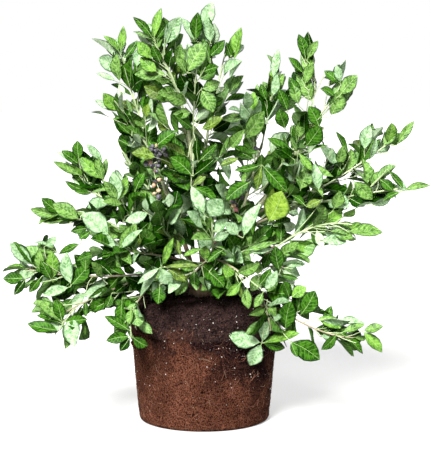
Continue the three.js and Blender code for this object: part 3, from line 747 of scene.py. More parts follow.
def drawsFrom(seed):
    # a repeatable stream of numbers, each between the two ends of a span
    state = seed

    def draw(span):
        nonlocal state
        state = state * randomRule["factor"] % randomRule["range"]
        return span[0] + (span[1] - span[0]) * state / randomRule["range"]

    return draw


def unit(vector):
    return vector / np.linalg.norm(vector)


def mix(low, high, share):
    return low + (high - low) * share


def pointAt(bearing, reach, height):
    turn = math.radians(bearing)
    return np.array([reach * math.cos(turn), reach * math.sin(turn), ball["soilHeight"] + height])


class Shoot:
    # a limb, stem or twig: one bend, a taper, and its line of straight steps
    def __init__(self, start, control, end, size):
        self.points = np.array([start, control, end])
        self.foot, self.tip, self.steps = size
        self.side = unit(np.cross(control - start, end - control) + 1e-9)
        places = np.linspace(0, 1, self.steps + 1)
        self.line = np.array([self.at(place) for place in places])
        fine = np.array([self.at(place) for place in np.linspace(0, 1, 41)])
        self.length = float(np.linalg.norm(np.diff(fine, axis=0), axis=1).sum())

    def at(self, place):
        start, control, end = self.points
        rest = 1 - place
        return rest * rest * start + 2 * rest * place * control + place * place * end

    def heading(self, place):
        start, control, end = self.points
        return unit((1 - place) * (control - start) + place * (end - control))

    def onLine(self, place):
        step = min(int(place * self.steps), self.steps - 1)
        return mix(self.line[step], self.line[step + 1], place * self.steps - step)

    def radial(self, place, roll):
        other = np.cross(self.side, self.heading(place))
        return self.side * math.cos(roll) + other * math.sin(roll)

    def radius(self, place):
        return mix(self.foot, self.tip, place) / 2


def caneShoot(footBearing, footReach, bearing, reach, height):
    start = pointAt(footBearing, footReach, caneRule["sunk"])
    end = pointAt(bearing, reach, height)
    span = np.linalg.norm(end - start)
    heading = unit((end - start) / span * caneRule["lean"] + up * caneRule["rise"])
    return Shoot(start, start + heading * span * bend, end, caneSize)


def branchShoot(parent, at, tip, size, short):
    start = parent.onLine(at)
    tangent = parent.heading(at)
    span = np.linalg.norm(tip - start)
    share = onwardShare if at == 1 else sidewaysShare
    heading = unit((tip - start) / span * (1 - share) + tangent * share)
    if at == 1:
        start = start - tangent * tipJoin
    control = start + heading * span * bend
    return Shoot(start, control, tip - unit(tip - control) * short, size)


def sideShoot(parent, place, roll, spread, length, size):
    start = parent.onLine(place)
    heading = parent.radial(place, roll) * math.sin(spread) + parent.heading(place) * math.cos(spread)
    end = start + heading * length + up * length * twigRule["upturn"]
    return Shoot(start, start + heading * length * bend, end, size)


limbs = {name: caneShoot(*values) for name, values in canes.items()}
for name, (parent, at, bearing, reach, height) in boughs.items():
    limbs[name] = branchShoot(limbs[parent], at, pointAt(bearing, reach, height), boughSize, 0)
stems = {
    name: branchShoot(limbs[parent], at, pointAt(bearing, reach, height), stemSize, leafRule["tipReach"])
    for name, (parent, at, bearing, reach, height) in masses.items()
}

tiltUp = math.radians(cameraSettings["elevation"])
farAway = cameraSettings["distance"] / millimetre
forward = back * math.cos(tiltUp) - up * math.sin(tiltUp)
upright = back * math.sin(tiltUp) + up * math.cos(tiltUp)
eye = np.array(cameraSettings["target"]) / millimetre - forward * farAway


def seenAt(points):
    # where each point is seen from the front on the upright plane through the middle of the bush
    away = points - eye
    return eye + away * (-eye[1] / away[:, 1])[:, None]


def seenPlace(across, down, depth=0.0):
    # the place at this depth that is seen so many steps across and down the front view
    middle, step = sight["middle"], sight["step"]
    ray = forward * farAway + right * (across - middle[0]) * step - upright * (down - middle[1]) * step
    return eye + ray * (depth - eye[1]) / ray[1]


# the laden shoot droops from the tip of its stem, the other bunches sit on the stem itself
ladenShoot = Shoot(
    stems["fruit_left"].at(0.85), seenPlace(137, 121, -85), seenPlace(159, 190, -110), ladenSize
)

# each bunch: its place on the shoot, its berries, and the shares of ripe and of ripening ones
bunches = (
    (ladenShoot, (
        (0.30, 5, 0.98, 0.02), (0.38, 6, 0.96, 0.04), (0.46, 7, 0.96, 0.02), (0.57, 7, 0.92, 0.04),
        (0.68, 7, 0.90, 0.04), (0.79, 6, 0.80, 0.08), (0.90, 5, 0.60, 0.10), (1.00, 4, 0.40, 0.10),
    )),
    (stems["fruit_right"], (
        (0.66, 3, 0.70, 0.10), (0.76, 4, 0.60, 0.20), (0.86, 4, 0.45, 0.35), (0.95, 4, 0.00, 0.90),
    )),
    (stems["centre_right"], ((0.30, 2, 1.0, 0.0),)),
)


def segmentsOf(shoots):
    # starts and ends of all straight steps, with the number of the shoot each belongs to
    starts = np.concatenate([shoot.line[:-1] for shoot in shoots])
    ends = np.concatenate([shoot.line[1:] for shoot in shoots])
    owners = np.concatenate([[i] * shoot.steps for i, shoot in enumerate(shoots)])
    return starts, ends, owners


def distancesTo(segments, points):
    starts, ends, _ = segments
    along = ends - starts
    away = points[:, None, :] - starts[None, :, :]
    share = np.clip((away * along).sum(2) / (along * along).sum(1), 0, 1)
    return np.linalg.norm(away - share[:, :, None] * along, axis=2)


limbSegments = segmentsOf(list(limbs.values()))
limbRadii = np.array([shoot.foot / 2 for shoot in limbs.values()])
limbClear = limbRadii[limbSegments[2]] + clearances["limb"]
stemSegments = segmentsOf(list(stems.values()))
boxLow = np.array(cadLow) / millimetre - clearances["box"]
boxHigh = np.array(cadHigh) / millimetre + clearances["box"]


def wallRadius(height):
    return ball["footRadius"] + height * ball["wallSlope"]


def clearOfBall(points):
    outside = np.hypot(points[:, 0], points[:, 1]) - wallRadius(points[:, 2])
    beside = outside > ball["soilProud"] + clearances["ball"]
    above = points[:, 2] > ball["soilHeight"] + ball["soilRise"] + clearances["ball"]
    return bool(np.all(beside | above))


def clearOfLimbs(points, skip=None):
    clear = distancesTo(limbSegments, points) > limbClear
    if skip is not None:
        clear[:, limbSegments[2] == skip] = True
    return bool(clear.all())


def inOwnSpace(points, owner):
    away = distancesTo(stemSegments, points)
    own = stemSegments[2] == owner
    return bool(np.all(away[:, own].min(1) + clearances["space"] < away[:, ~own].min(1)))


def inBox(points):
    return bool(np.all(points > boxLow) and np.all(points < boxHigh))


openSegments = [np.array([seenPlace(*opening[side]) for opening in openings]) for side in (0, 1)]
openRadii = np.array([opening[2] for opening in openings]) * sight["step"]


def clearOfOpenings(points):
    return bool(np.all(distancesTo((*openSegments, None), seenAt(points)) > openRadii))


def showsFront(points):
    away = np.linalg.norm(seenAt(points)[:, None, :] - frontSeen[None, :, :], axis=2)
    behind = points[:, None, 1] > frontSpots[None, :, 1] - frontRule["slack"]
    return bool(np.all((away > frontRadii) | behind))


def leafFits(points):
    return (
        clearOfBall(points) and clearOfLimbs(points) and inBox(points)
        and clearOfOpenings(points) and showsFront(points)
    )


def fits(points, owner):
    return clearOfBall(points) and clearOfLimbs(points) and inOwnSpace(points, owner)


def firstThatFits(tries, make, test):
    for attempt in range(tries):
        made = make(attempt * fullTurn / tries)
        if test(made):
            return [made]
    return []


def growTwigs(stem, owner, draw):
    rule = twigRule
    count = math.floor(stem.length / rule["spacing"] + 0.5)

    def clear(twig):
        return fits(np.array([twig.onLine(place) for place in rule["probes"]]), owner)

    twigs = []
    for i in range(count):
        place = mix(*rule["places"], (i + 0.5) / count)
        share = mix(rule["footShare"], rule["tipShare"], place) * draw(rule["shareSpan"])
        length = min(max(stem.length * share, rule["shortest"]), rule["longest"])
        spread = math.radians(draw(rule["spread"]))
        roll = math.radians(goldenAngle * i + draw(rule["rollSpan"]))
        twigs += firstThatFits(
            rule["tries"],
            lambda turn: sideShoot(stem, place, roll + turn, spread, length, twigSize),
            clear,
        )
    return twigs


def growFine(parent, spacing, rule, draw, test):
    count = int(parent.length / spacing)
    made = []

    def clear(twig):
        return test(np.array([twig.onLine(place) for place in twigRule["probes"]]))

    for i in range(count):
        place = mix(*rule["places"], (i + 0.5) / count)
        length = draw(rule["length"])
        spread = math.radians(draw(rule["spread"]))
        roll = math.radians(goldenAngle * (i + 0.5) + draw(twigRule["rollSpan"]))
        made += firstThatFits(
            rule["tries"],
            lambda turn: sideShoot(parent, place, roll + turn, spread, length, fineSize),
            clear,
        )
    return made


blade = {
    "width": (0.40, 0.62),
    "thickness": 0.32,
    "rows": (0.05, 0.18, 0.38, 0.60, 0.80, 0.94),
    "widest": 1.05,
    "fullness": (0.84, 0.05),
    "ribWidth": 0.38,
    "ribProud": 0.45,
    "ribTaper": 0.6,
    "ribFade": 0.7,
    "curl": (-0.02, 0.22),
    "fold": (0.12, 0.78),
    "foldShare": 0.25,
    "wave": (0.0, 0.05),
    "waves": 7.0,
    "phase": (0.0, 6.28),
    "sway": (-0.06, 0.06),
    "twist": (-0.45, 0.45),
    "flatFront": 0.5,
    "swell": 0.012,
    "droop": 0.05,
    "sharpAngle": 42.0,
}
petiole = {"length": 4.0, "radius": 0.75, "inside": 3.0, "tipShare": 0.6, "sunk": 0.3}

# points round a blade and down its middle: forward, and sideways in half widths
outlineSpots = (
    (0.3, 1), (0.3, -1), (0.6, 1), (0.6, -1), (0.85, 0.5), (0.85, -0.5), (0.5, 0), (1, 0),
)


class Leaf:
    # a blade from its root along one line, turned about that line by facing
    def __init__(self, root, along, face, facing, length, tone=None, width=None):
        self.root = root
        self.along = along
        face = unit(face - along * face.dot(along))
        self.face = face * math.cos(facing) - np.cross(along, face) * math.sin(facing)
        self.across = np.cross(along, self.face)
        self.length = length
        self.tone = tone
        self.width = width

    def at(self, forward):
        return self.root + self.along * self.length * forward

    def middle(self):
        return self.at(0.5)

    def outline(self):
        width = self.length * (self.width or blade["width"][1]) / 2
        return np.array([
            self.at(forward) + self.across * width * sideways
            - self.face * self.length * blade["droop"] * forward ** 2
            for forward, sideways in outlineSpots
        ])


def leafOn(shoot, place, fromTip, roll, facing, outward, length):
    # the blades near the tip of a shoot lie closest to its line
    rule = leafRule
    root, tangent = shoot.onLine(place), shoot.heading(place)
    spread = math.radians(rule["tipTilt"] if fromTip == 0 else mix(*rule["spread"], fromTip))
    radial = shoot.radial(place, roll)
    radial = unit(radial - up * rule["flatten"] * (1 - abs(tangent[2])) * radial[2])
    flatOut = np.array([root[0] * rule["faceAcross"], root[1] - rule["faceFront"], 0.0])
    face = unit(flatOut) * outward + up * rule["faceUp"] + tangent * rule["faceTip"]
    along = unit(tangent * math.cos(spread) + radial * math.sin(spread))
    return Leaf(root, along, face, facing, length)


def growFront():
    # the front twigs, and their leaves with the number of the twig that each is on
    rule = frontRule
    draw = drawsFrom(rule["seed"])
    grown, held = [], []
    for name, at, tip, ends in frontSprays:
        shoot = branchShoot(stems[name], at, seenPlace(*tip), spraySize, 0)
        for (place, end, tone, width), nearer in zip(ends, rule["depths"]):
            root = shoot.onLine(place)
            run = seenPlace(*end, tip[2] + nearer) - root
            sway = np.array([draw((-1, 1)), 0, draw((-1, 1))]) * rule["sway"]
            facing = math.radians(draw(rule["facing"]))
            face = np.array(rule["face"]) + sway
            leaf = Leaf(root, unit(run), face, facing, np.linalg.norm(run), tone, width)
            held.append((leaf, len(grown)))
        grown.append(shoot)
    return grown, held


frontShoots, frontLeaves = growFront()


def spotsKeptInSight():
    # bunches, front leaves and pale stems that no other leaf hangs in front of, each a spot and a radius
    spots = []
    for shoot, clusters in bunches:
        for place, *_ in clusters:
            spots.append((shoot.onLine(place) - back * frontRule["fruitAhead"], clearances["fruit"]))
    for leaf, _ in frontLeaves:
        spots += [(leaf.at(forward), clearances["front"]) for forward in frontRule["spots"]]
    for name in shownStems:
        places = np.linspace(*frontRule["stemSpots"])
        spots += [(stems[name].onLine(place), clearances["stem"]) for place in places]
    return [np.array(values) for values in zip(*spots)]


frontSpots, frontRadii = spotsKeptInSight()
frontSeen = seenAt(frontSpots)


def growLeaves(shoot, middles, draw):
    # leaves from the tip of a shoot down, each clear of the middles of those before it
    rule = leafRule
    count = int(shoot.length * (1 - rule["lastPlace"]) / rule["spacing"]) + 1
    grown = []

    def clear(leaf):
        if middles:
            away = np.linalg.norm(np.array(middles) - leaf.middle(), axis=1)
            if away.min() < rule["apart"]:
                return False
        return leafFits(leaf.outline())

    for i in range(count):
        place = 1 - (rule["tipGap"] + i * rule["spacing"]) / shoot.length
        fromTip = i / max(count - 1, 1)
        scale = min(1.0, rule["tipSize"] + rule["sizeGain"] * min(1.0, i / rule["gainLeaves"]))
        length = rule["length"] * scale * draw(rule["lengthSpan"])
        facing = math.radians(draw(rule["faceSpan"]))
        outward = draw(rule["faceIn"] if draw((0, 1)) < rule["faceInShare"] else rule["faceOut"])
        roll = math.radians(goldenAngle * i + draw(rule["rollSpan"]))
        for leaf in firstThatFits(
            rule["tries"],
            lambda turn: leafOn(shoot, place, fromTip, roll + turn, facing, outward, length),
            clear,
        ):
            middles.append(leaf.middle())
            grown.append(leaf)
    return grown


def growBush():
    # all shoots, and all leaves with the number of the shoot that each is on
    shoots, leaves = list(frontShoots), list(frontLeaves)
    middles = [leaf.middle() for leaf, _ in leaves]

    def dress(shoot, draw):
        number = len(shoots)
        shoots.append(shoot)
        leaves.extend((leaf, number) for leaf in growLeaves(shoot, middles, draw))

    for owner, (name, stem) in enumerate(stems.items()):
        order = owner + firstOrder

        def inside(points, owner=owner):
            return fits(points, owner)

        twigs = growTwigs(stem, owner, drawsFrom(twigRule["seed"] * order))
        draw = drawsFrom(fineRule["seed"] * order)
        fine = growFine(stem, fineRule["stemSpacing"], fineRule, draw, inside)
        for twig in twigs:
            fine += growFine(twig, fineRule["twigSpacing"], fineRule, draw, inside)
        for parent, place, tip in sprays:
            if parent == name:
                fine.append(branchShoot(stem, place, seenPlace(*tip), spraySize, leafRule["sprayTip"]))
        for i, shoot in enumerate([stem] + twigs + fine):
            dress(shoot, drawsFrom(leafRule["seed"] * order + leafRule["shootSeed"] * i))
    massCount = len(leaves)
    for number, limb in enumerate(limbs.values()):
        draw = drawsFrom(innerRule["seed"] * (number + firstOrder))

        def clear(points, number=number):
            return clearOfBall(points) and clearOfLimbs(points[1:], number)

        low = limb.points[2][2] < innerRule["lowBelow"]
        spacing = innerRule["lowSpacing"] if low else innerRule["spacing"]
        for shoot in growFine(limb, spacing, innerRule, draw, clear):
            dress(shoot, draw)
    print("shoots", len(shoots), "leaves", massCount, "and inner", len(leaves) - massCount)
    return shoots, leaves


shoots, leaves = growBush()


def meshPiece(name, points, faces, materials, faceMaterials=None, uvs=None, sharpAngle=None):
    mesh = bpy.data.meshes.new(name)
    mesh.from_pydata((np.asarray(points) * millimetre).tolist(), [], faces)
    for material in materials:
        mesh.materials.append(material)
    if faceMaterials is not None:
        mesh.polygons.foreach_set("material_index", np.asarray(faceMaterials, dtype=np.int32))
    if uvs is not None:
        layer = mesh.uv_layers.new(name="UVMap")
        corners = np.zeros(len(mesh.loops), dtype=np.int32)
        mesh.loops.foreach_get("vertex_index", corners)
        layer.data.foreach_set("uv", np.asarray(uvs)[corners].astype(np.float32).ravel())
    mesh.validate()
    piece = bpy.data.objects.new(name, mesh)
    bpy.context.scene.collection.objects.link(piece)
    if sharpAngle is not None:
        bpy.ops.object.select_all(action="DESELECT")
        piece.select_set(True)
        bpy.context.view_layer.objects.active = piece
        bpy.ops.object.shade_smooth_by_angle(angle=math.radians(sharpAngle))
    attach(piece, "root")
    triangles = sum(len(face) - 2 for face in faces)
    print(" ", name, len(points), "points", triangles, "triangles")
    return piece


def copiedFaces(faceTable, size, count):
    # the faces of one template, over again for each of its copies
    return [tuple(i + number * size for i in face) for number in range(count) for face in faceTable]


def bladeTemplate():
    # forward, sideways, share of thickness and rib side of each point of a blade, its faces,
    # and which of the three finishes each face takes: 0 upper, 1 under, 2 rib
    rows = len(blade["rows"])
    upper = ((-1, 0), (-0.5, 0), (0, -1), (0, 1), (0.5, 0), (1, 0))
    spots = [(0, 0, 0, 0)]
    for forward in blade["rows"]:
        spots += [(forward, sideways, 0, rib) for sideways, rib in upper]
    spots.append((1, 0, 0, 0))
    last = len(spots) - 1
    under = {}
    for i, forward in enumerate(blade["rows"]):
        for column, (sideways, rib) in enumerate(upper):
            if rib:
                under[i, column] = len(spots)
                spots.append((forward, sideways, 1, rib))

    def topAt(i, column):
        return 1 + i * len(upper) + column

    def underAt(i, column):
        return under.get((i, column), topAt(i, column))

    # lengthwise strips between two columns; the rib is the strip between columns 2 and 3
    strips = [(topAt, column, column + 1, 0) for column in range(len(upper) - 1)]
    strips += [(underAt, b, a, 1) for a, b in ((0, 2), (2, 3), (3, 5))]
    faces, finishes = [], []
    for at, a, b, finish in strips:
        faces += [(at(i, a), at(i, b), at(i + 1, b), at(i + 1, a)) for i in range(rows - 1)]
        faces.append((0, at(0, b), at(0, a)))
        faces.append((last, at(rows - 1, a), at(rows - 1, b)))
        finishes += [2 if {a, b} == {2, 3} else finish] * (rows + 1)
    return np.array(spots), faces, finishes


def halfWidth(forward):
    # half the width of a blade as a share of its widest, full at the base and pointed at the tip
    swell = np.sin(np.pi * np.power(forward, blade["widest"]))
    base, gain = blade["fullness"]
    return np.power(np.clip(swell, 0, 1), base + gain * forward)


def bladePoints(leaf, spots, draw):
    # the points of one blade, curled, folded and twisted its own way
    forward, sideways, underSide, rib = spots.T
    width, length = halfWidth(forward), leaf.length
    keys = ("curl", "fold", "wave", "sway", "twist", "phase")
    curl, fold, wave, sway, twist, phase = (draw(blade[key]) for key in keys)
    if leaf.width:
        fold, twist = fold * blade["flatFront"], twist * blade["flatFront"]
    offset = sideways * width * length * (leaf.width or draw(blade["width"])) / 2
    offset = offset + rib * blade["ribWidth"] * (1 - blade["ribTaper"] * forward)
    offset = offset + sway * length * np.sin(np.pi * forward)
    spread = np.abs(sideways) * width
    lift = fold * spread * length * blade["foldShare"] - curl * forward ** 2 * length
    lift = lift + wave * length * spread * np.sin(blade["waves"] * forward + phase)
    lift = lift + np.where(np.abs(sideways) == 0.5, blade["swell"] * length, 0)
    lift = lift - underSide * (blade["thickness"] + blade["ribProud"] * (1 - blade["ribFade"] * forward))
    turn = twist * forward
    run = forward * (length - petiole["length"])
    across = offset * np.cos(turn) - lift * np.sin(turn)
    out = lift * np.cos(turn) + offset * np.sin(turn)
    base = leaf.root + leaf.along * petiole["length"]
    return base + run[:, None] * leaf.along + across[:, None] * leaf.across + out[:, None] * leaf.face


# a three-sided stalk: its corners by across and face, and its faces
stalkCorners = ((1.0, 0.0), (-0.5, 0.87), (-0.5, -0.87))
stalkFaces = ((0, 1, 4, 3), (1, 2, 5, 4), (2, 0, 3, 5), (2, 1, 0), (3, 4, 5))


def stalkPoints(leaf):
    # from the middle of the shoot into the blade
    ring = [leaf.across * wide + leaf.face * high for wide, high in stalkCorners]
    foot, thick = leaf.root, petiole["radius"]
    end = foot + leaf.along * (petiole["length"] + petiole["inside"]) - leaf.face * petiole["sunk"]
    return [foot + arm * thick for arm in ring] + [end + arm * thick * petiole["tipShare"] for arm in ring]


def leafMesh(name, group, materials, seed):
    spots, faceTable, finishes = bladeTemplate()
    faceTable += [tuple(i + len(spots) for i in face) for face in stalkFaces]
    finishes += [2] * len(stalkFaces)
    uvs = [(0.5 + 0.5 * sideways, forward) for forward, sideways, _, _ in spots]
    uvs += [(0.5, 0.5)] * (2 * len(stalkCorners))
    draw = drawsFrom(seed)
    points = [np.vstack([bladePoints(leaf, spots, draw), stalkPoints(leaf)]) for leaf in group]
    faces = copiedFaces(faceTable, len(uvs), len(group))
    finishes = finishes * len(group)
    uvs = np.tile(uvs, (len(group), 1))
    return meshPiece(name, np.vstack(points), faces, materials, finishes, uvs, blade["sharpAngle"])


tubeSharpAngle = 60.0


def tubeMesh(name, tubes, material, sides):
    # closed, tapered tubes; each is a list of centres with a radius at each
    points, faces = [], []
    count = 0
    turns = np.linspace(0, fullTurn, sides, endpoint=False)[:, None]
    for centres, radii, side in tubes:
        centres = np.asarray(centres)
        headings = np.gradient(centres, axis=0)
        headings /= np.linalg.norm(headings, axis=1)[:, None]
        for centre, heading, radius in zip(centres, headings, radii):
            across = unit(side - heading * side.dot(heading))
            other = np.cross(heading, across)
            points.append(centre + radius * (np.cos(turns) * across + np.sin(turns) * other))
        rings = len(centres)
        for i in range(rings - 1):
            low, high = count + i * sides, count + (i + 1) * sides
            for j in range(sides):
                k = (j + 1) % sides
                faces.append((low + j, low + k, high + k, high + j))
        faces.append(tuple(count + j for j in reversed(range(sides))))
        faces.append(tuple(count + (rings - 1) * sides + j for j in range(sides)))
        count += rings * sides
    return meshPiece(name, np.concatenate(points), faces, [material], sharpAngle=tubeSharpAngle)


# the leaves' own greens, and with them painted light and shade: the near-black deep and the dark tones
# paint the shade on leaves inside the crown, the pale mint tone the light on leaves out in the open
leafTones = {
    "deep": {
        "low": (0.0008, 0.009, 0.0001), "high": (0.009, 0.052, 0.0006),
        "vein": (0.04, 0.16, 0.008), "sheen": 0.03,
    },
    "dark": {
        "low": (0.003, 0.030, 0.0003), "high": (0.050, 0.175, 0.008),
        "vein": (0.20, 0.40, 0.08), "sheen": 0.08,
    },
    "mid": {
        "low": (0.018, 0.082, 0.004), "high": (0.190, 0.370, 0.072),
        "vein": (0.46, 0.64, 0.28), "sheen": 0.2,
    },
    "fresh": {
        "low": (0.026, 0.115, 0.004), "high": (0.200, 0.415, 0.052),
        "vein": (0.42, 0.62, 0.20), "sheen": 0.2,
    },
    "mint": {
        "low": (0.092, 0.225, 0.070), "high": (0.410, 0.600, 0.350),
        # the near-white veins of mint are partly a painted highlight
        "vein": (0.74, 0.86, 0.65), "sheen": 0.3,
    },
    "gold": {
        "low": (0.080, 0.170, 0.005), "high": (0.250, 0.400, 0.040),
        "vein": (0.44, 0.58, 0.16), "sheen": 0.3,
    },
    "olive": {
        "low": (0.020, 0.056, 0.002), "high": (0.150, 0.245, 0.026),
        "vein": (0.34, 0.44, 0.15), "sheen": 0.15,
    },
}
underTones = {
    # the dim undersides go with the deep and dark tones, so they are painted shade as well
    "dim": {"low": (0.014, 0.066, 0.003), "high": (0.080, 0.215, 0.022), "vein": (0.20, 0.38, 0.09)},
    "plain": {"low": (0.078, 0.195, 0.038), "high": (0.245, 0.430, 0.140), "vein": (0.44, 0.62, 0.30)},
    "pale": {"low": (0.310, 0.480, 0.250), "high": (0.590, 0.740, 0.510), "vein": (0.80, 0.88, 0.72)},
}
leafUnder = {
    "deep": "dim", "dark": "dim", "mid": "plain", "fresh": "plain", "mint": "pale", "gold": "plain",
    "olive": "plain",
}
upperFinish = {"roughness": 0.44, "veinShare": 0.32}
underFinish = {"roughness": 0.62, "veinShare": 0.5, "sheen": 0.15}
ribLook = {
    "low": (0.22, 0.36, 0.10), "high": (0.42, 0.54, 0.25),
    "roughness": 0.55, "scale": 60, "grain": 700, "bump": 0.1, "distance": 0.0003,
}

# painted light and shade: the shares of the tones for a leaf in the shade inside the crown and for one out
# in the light
toneShares = {
    "inside": {
        "deep": 0.46, "dark": 0.26, "mid": 0.15, "fresh": 0.02, "mint": 0.07, "gold": 0.0, "olive": 0.04,
    },
    "outside": {
        "deep": 0.06, "dark": 0.17, "mid": 0.30, "fresh": 0.11, "mint": 0.32, "gold": 0.01, "olive": 0.03,
    },
}
shadeRule = {
    "heart": (15.0, 20.0, 330.0), "ahead": 14.0, "aside": 42.0, "full": 14.0, "alike": 0.5,
    "seed": 4242, "shapeSeed": 97,
}


def dealTone(draw, shade):
    share = draw((0, 1))
    for tone in leafTones:
        share -= mix(toneShares["outside"][tone], toneShares["inside"][tone], shade)
        if share <= 0:
            return tone
    return "mid"


def shadesOf(grown):
    # from 0 in the open to 1 where many leaves lie further out in front
    middles = np.array([leaf.middle() for leaf in grown])
    outward = middles - np.array(shadeRule["heart"])
    outward /= np.linalg.norm(outward, axis=1)[:, None]
    counts = []
    for middle, out in zip(middles, outward):
        away = middles - middle
        ahead = away @ out
        aside = np.linalg.norm(away - ahead[:, None] * out, axis=1)
        counts.append(np.sum((ahead > shadeRule["ahead"]) & (aside < shadeRule["aside"])))
    print("  leaves ahead of one", [int(v) for v in np.percentile(counts, (5, 25, 50, 75, 95))])
    return np.clip(np.array(counts) / shadeRule["full"], 0, 1)


uppers = {
    tone: leafMaterial(tone + "Leaf", **colours, **upperFinish) for tone, colours in leafTones.items()
}
unders = {
    tone: leafMaterial(tone + "Underleaf", **colours, **underFinish)
    for tone, colours in underTones.items()
}
ribGreen = plainMaterial("ribGreen", **ribLook)


def dealLeaves():
    # in the open, about half of the leaves take the tone of their shoot
    draw = drawsFrom(shadeRule["seed"])
    shootTones = [dealTone(draw, 0) for _ in shoots]
    dealt = {tone: [] for tone in leafTones}
    for (leaf, number), shade in zip(leaves, shadesOf([leaf for leaf, _ in leaves])):
        alike = shade < shadeRule["alike"] and draw((0, 1)) < shadeRule["alike"]
        # painted shade: a leaf with more leaves further out in front of it is dealt darker tones
        tone = leaf.tone or (shootTones[number] if alike else dealTone(draw, shade))
        dealt[tone].append(leaf)
    return dealt


dealt = dealLeaves()
for number, (tone, group) in enumerate(dealt.items()):
    materials = [uppers[tone], unders[leafUnder[tone]], ribGreen]
    leafMesh("leaves_" + tone, group, materials, shadeRule["shapeSeed"] + number)
print("leaves made", sum(len(group) for group in dealt.values()))


shootLook = {"rings": 3, "ring": 11.0, "sides": 5, "follow": 0.5, "greenAbove": 330.0, "greenUnder": 3.0}
youngLook = {
    "low": (0.26, 0.36, 0.14), "high": (0.64, 0.72, 0.46),
    "roughness": 0.5, "scale": 60, "grain": 900, "bump": 0.2, "distance": 0.0003,
}
tanLook = {
    "low": (0.20, 0.16, 0.09), "high": (0.52, 0.46, 0.33),
    "roughness": 0.65, "scale": 60, "grain": 900, "bump": 0.3, "distance": 0.0004,
}
youngBark = plainMaterial("youngBark", **youngLook)
tanBark = plainMaterial("tanBark", **tanLook)


def shootTube(shoot):
    # the twigs' roots lie on straight steps, so each shoot with several follows its line a little
    rings = max(shootLook["rings"], int(shoot.length / shootLook["ring"]) + 1)
    places = np.linspace(0, 1, rings)
    follow = shootLook["follow"] if shoot.steps > 1 else 0
    centres = [shoot.onLine(place) * follow + shoot.at(place) * (1 - follow) for place in places]
    return centres, [shoot.radius(place) for place in places], shoot.side


young, old = [], []
for shoot in shoots:
    green = shoot.at(0.5)[2] > shootLook["greenAbove"] or shoot.foot < shootLook["greenUnder"]
    (young if green else old).append(shootTube(shoot))
young.append(shootTube(ladenShoot))
shootPieces = [
    tubeMesh("shoots_young", young, youngBark, shootLook["sides"]),
    tubeMesh("shoots_tan", old, tanBark, shootLook["sides"]),
]


woodLook = {
    "voxel": 1.1,
    "relief": (0.55, 0.007, 3),
    "curveSteps": 18,
    "curveSides": 3,
    "crownRings": ((33, -6), (27, 12), (21, 22)),
    "crownCorners": 28,
}

barkLook = {
    "patches": {"Scale": 90.0, "Grain": 900.0, "Sharp": 0.14},
    "greenFrom": 0.30,
    "greenAt": 0.46,
    "old": ((0.035, 0.020, 0.012), (0.22, 0.14, 0.09)),
    "worn": (0.19, 0.13, 0.085),
    "green": ((0.26, 0.30, 0.15), (0.60, 0.62, 0.42)),
    "bump": (0.5, 0.0008),
}


def barkMaterial():
    # cracked brown bark at the foot that turns to smooth, pale green wood above
    look = barkLook
    material, tree, shader = newMaterial("bark", 0.75, 0.25)
    _, parts = coordinates(tree, "Object")
    tone = useGroup(tree, patches, (-1300, 0), **look["patches"])
    height = softStep(tree, parts["Z"], look["greenFrom"], look["greenAt"], (-900, 300))
    brown = blendColours(tree, tone["Fine"], *look["old"], (-600, 100))
    worn = blendColours(tree, tone["Patch"], brown, look["worn"], (-400, 100))
    green = blendColours(tree, tone["Fine"], *look["green"], (-600, -100))
    feed(tree, shader.inputs["Base Color"], blendColours(tree, height, worn, green, (-150, 150)))
    addBump(tree, shader, tone["Fine"], *look["bump"])
    return material


bark = barkMaterial()


def deselect():
    bpy.ops.object.select_all(action="DESELECT")


def settle():
    bpy.ops.object.transform_apply(location=True, rotation=True, scale=True)


def drawnUp(name, rings, corners):
    # a closed piece drawn up from one disc, ring by ring, each a radius and a height
    deselect()
    radius, height = rings[0]
    bpy.ops.mesh.primitive_circle_add(
        vertices=corners, radius=radius * millimetre, fill_type="NGON",
        location=(0, 0, height * millimetre),
    )
    piece = bpy.context.object
    piece.name = piece.data.name = name
    bpy.ops.object.mode_set(mode="EDIT")
    bpy.ops.mesh.select_all(action="SELECT")
    for (wasWide, wasHigh), (wide, high) in zip(rings, rings[1:]):
        rise = (high - wasHigh) * millimetre
        bpy.ops.mesh.extrude_region_move(TRANSFORM_OT_translate={"value": (0, 0, rise)})
        bpy.ops.transform.resize(value=(wide / wasWide, wide / wasWide, 1))
    bpy.ops.mesh.select_all(action="SELECT")
    bpy.ops.mesh.normals_make_consistent(inside=False)
    bpy.ops.object.mode_set(mode="OBJECT")
    settle()
    return piece


def oneSkin(piece, voxel):
    # one even skin of small voxels
    remesh = piece.modifiers.new("oneSkin", "REMESH")
    remesh.mode = "VOXEL"
    remesh.voxel_size = voxel * millimetre
    bpy.ops.object.modifier_apply(modifier=remesh.name)


def applyRelief(piece, name, strength, size, depth=2, where=""):
    # a cloudy relief, everywhere or on one group of points
    cloud = bpy.data.textures.new(name, "CLOUDS")
    cloud.noise_scale = size
    cloud.noise_depth = depth
    relief = piece.modifiers.new(name, "DISPLACE")
    relief.texture = cloud
    relief.strength = strength * millimetre
    relief.mid_level = 0.5
    relief.vertex_group = where
    bpy.ops.object.modifier_apply(modifier=name)


def finishPiece(piece, material):
    piece.data.materials.clear()
    piece.data.materials.append(material)
    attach(piece, "root")
    print(" ", piece.name, len(piece.data.polygons), "faces")


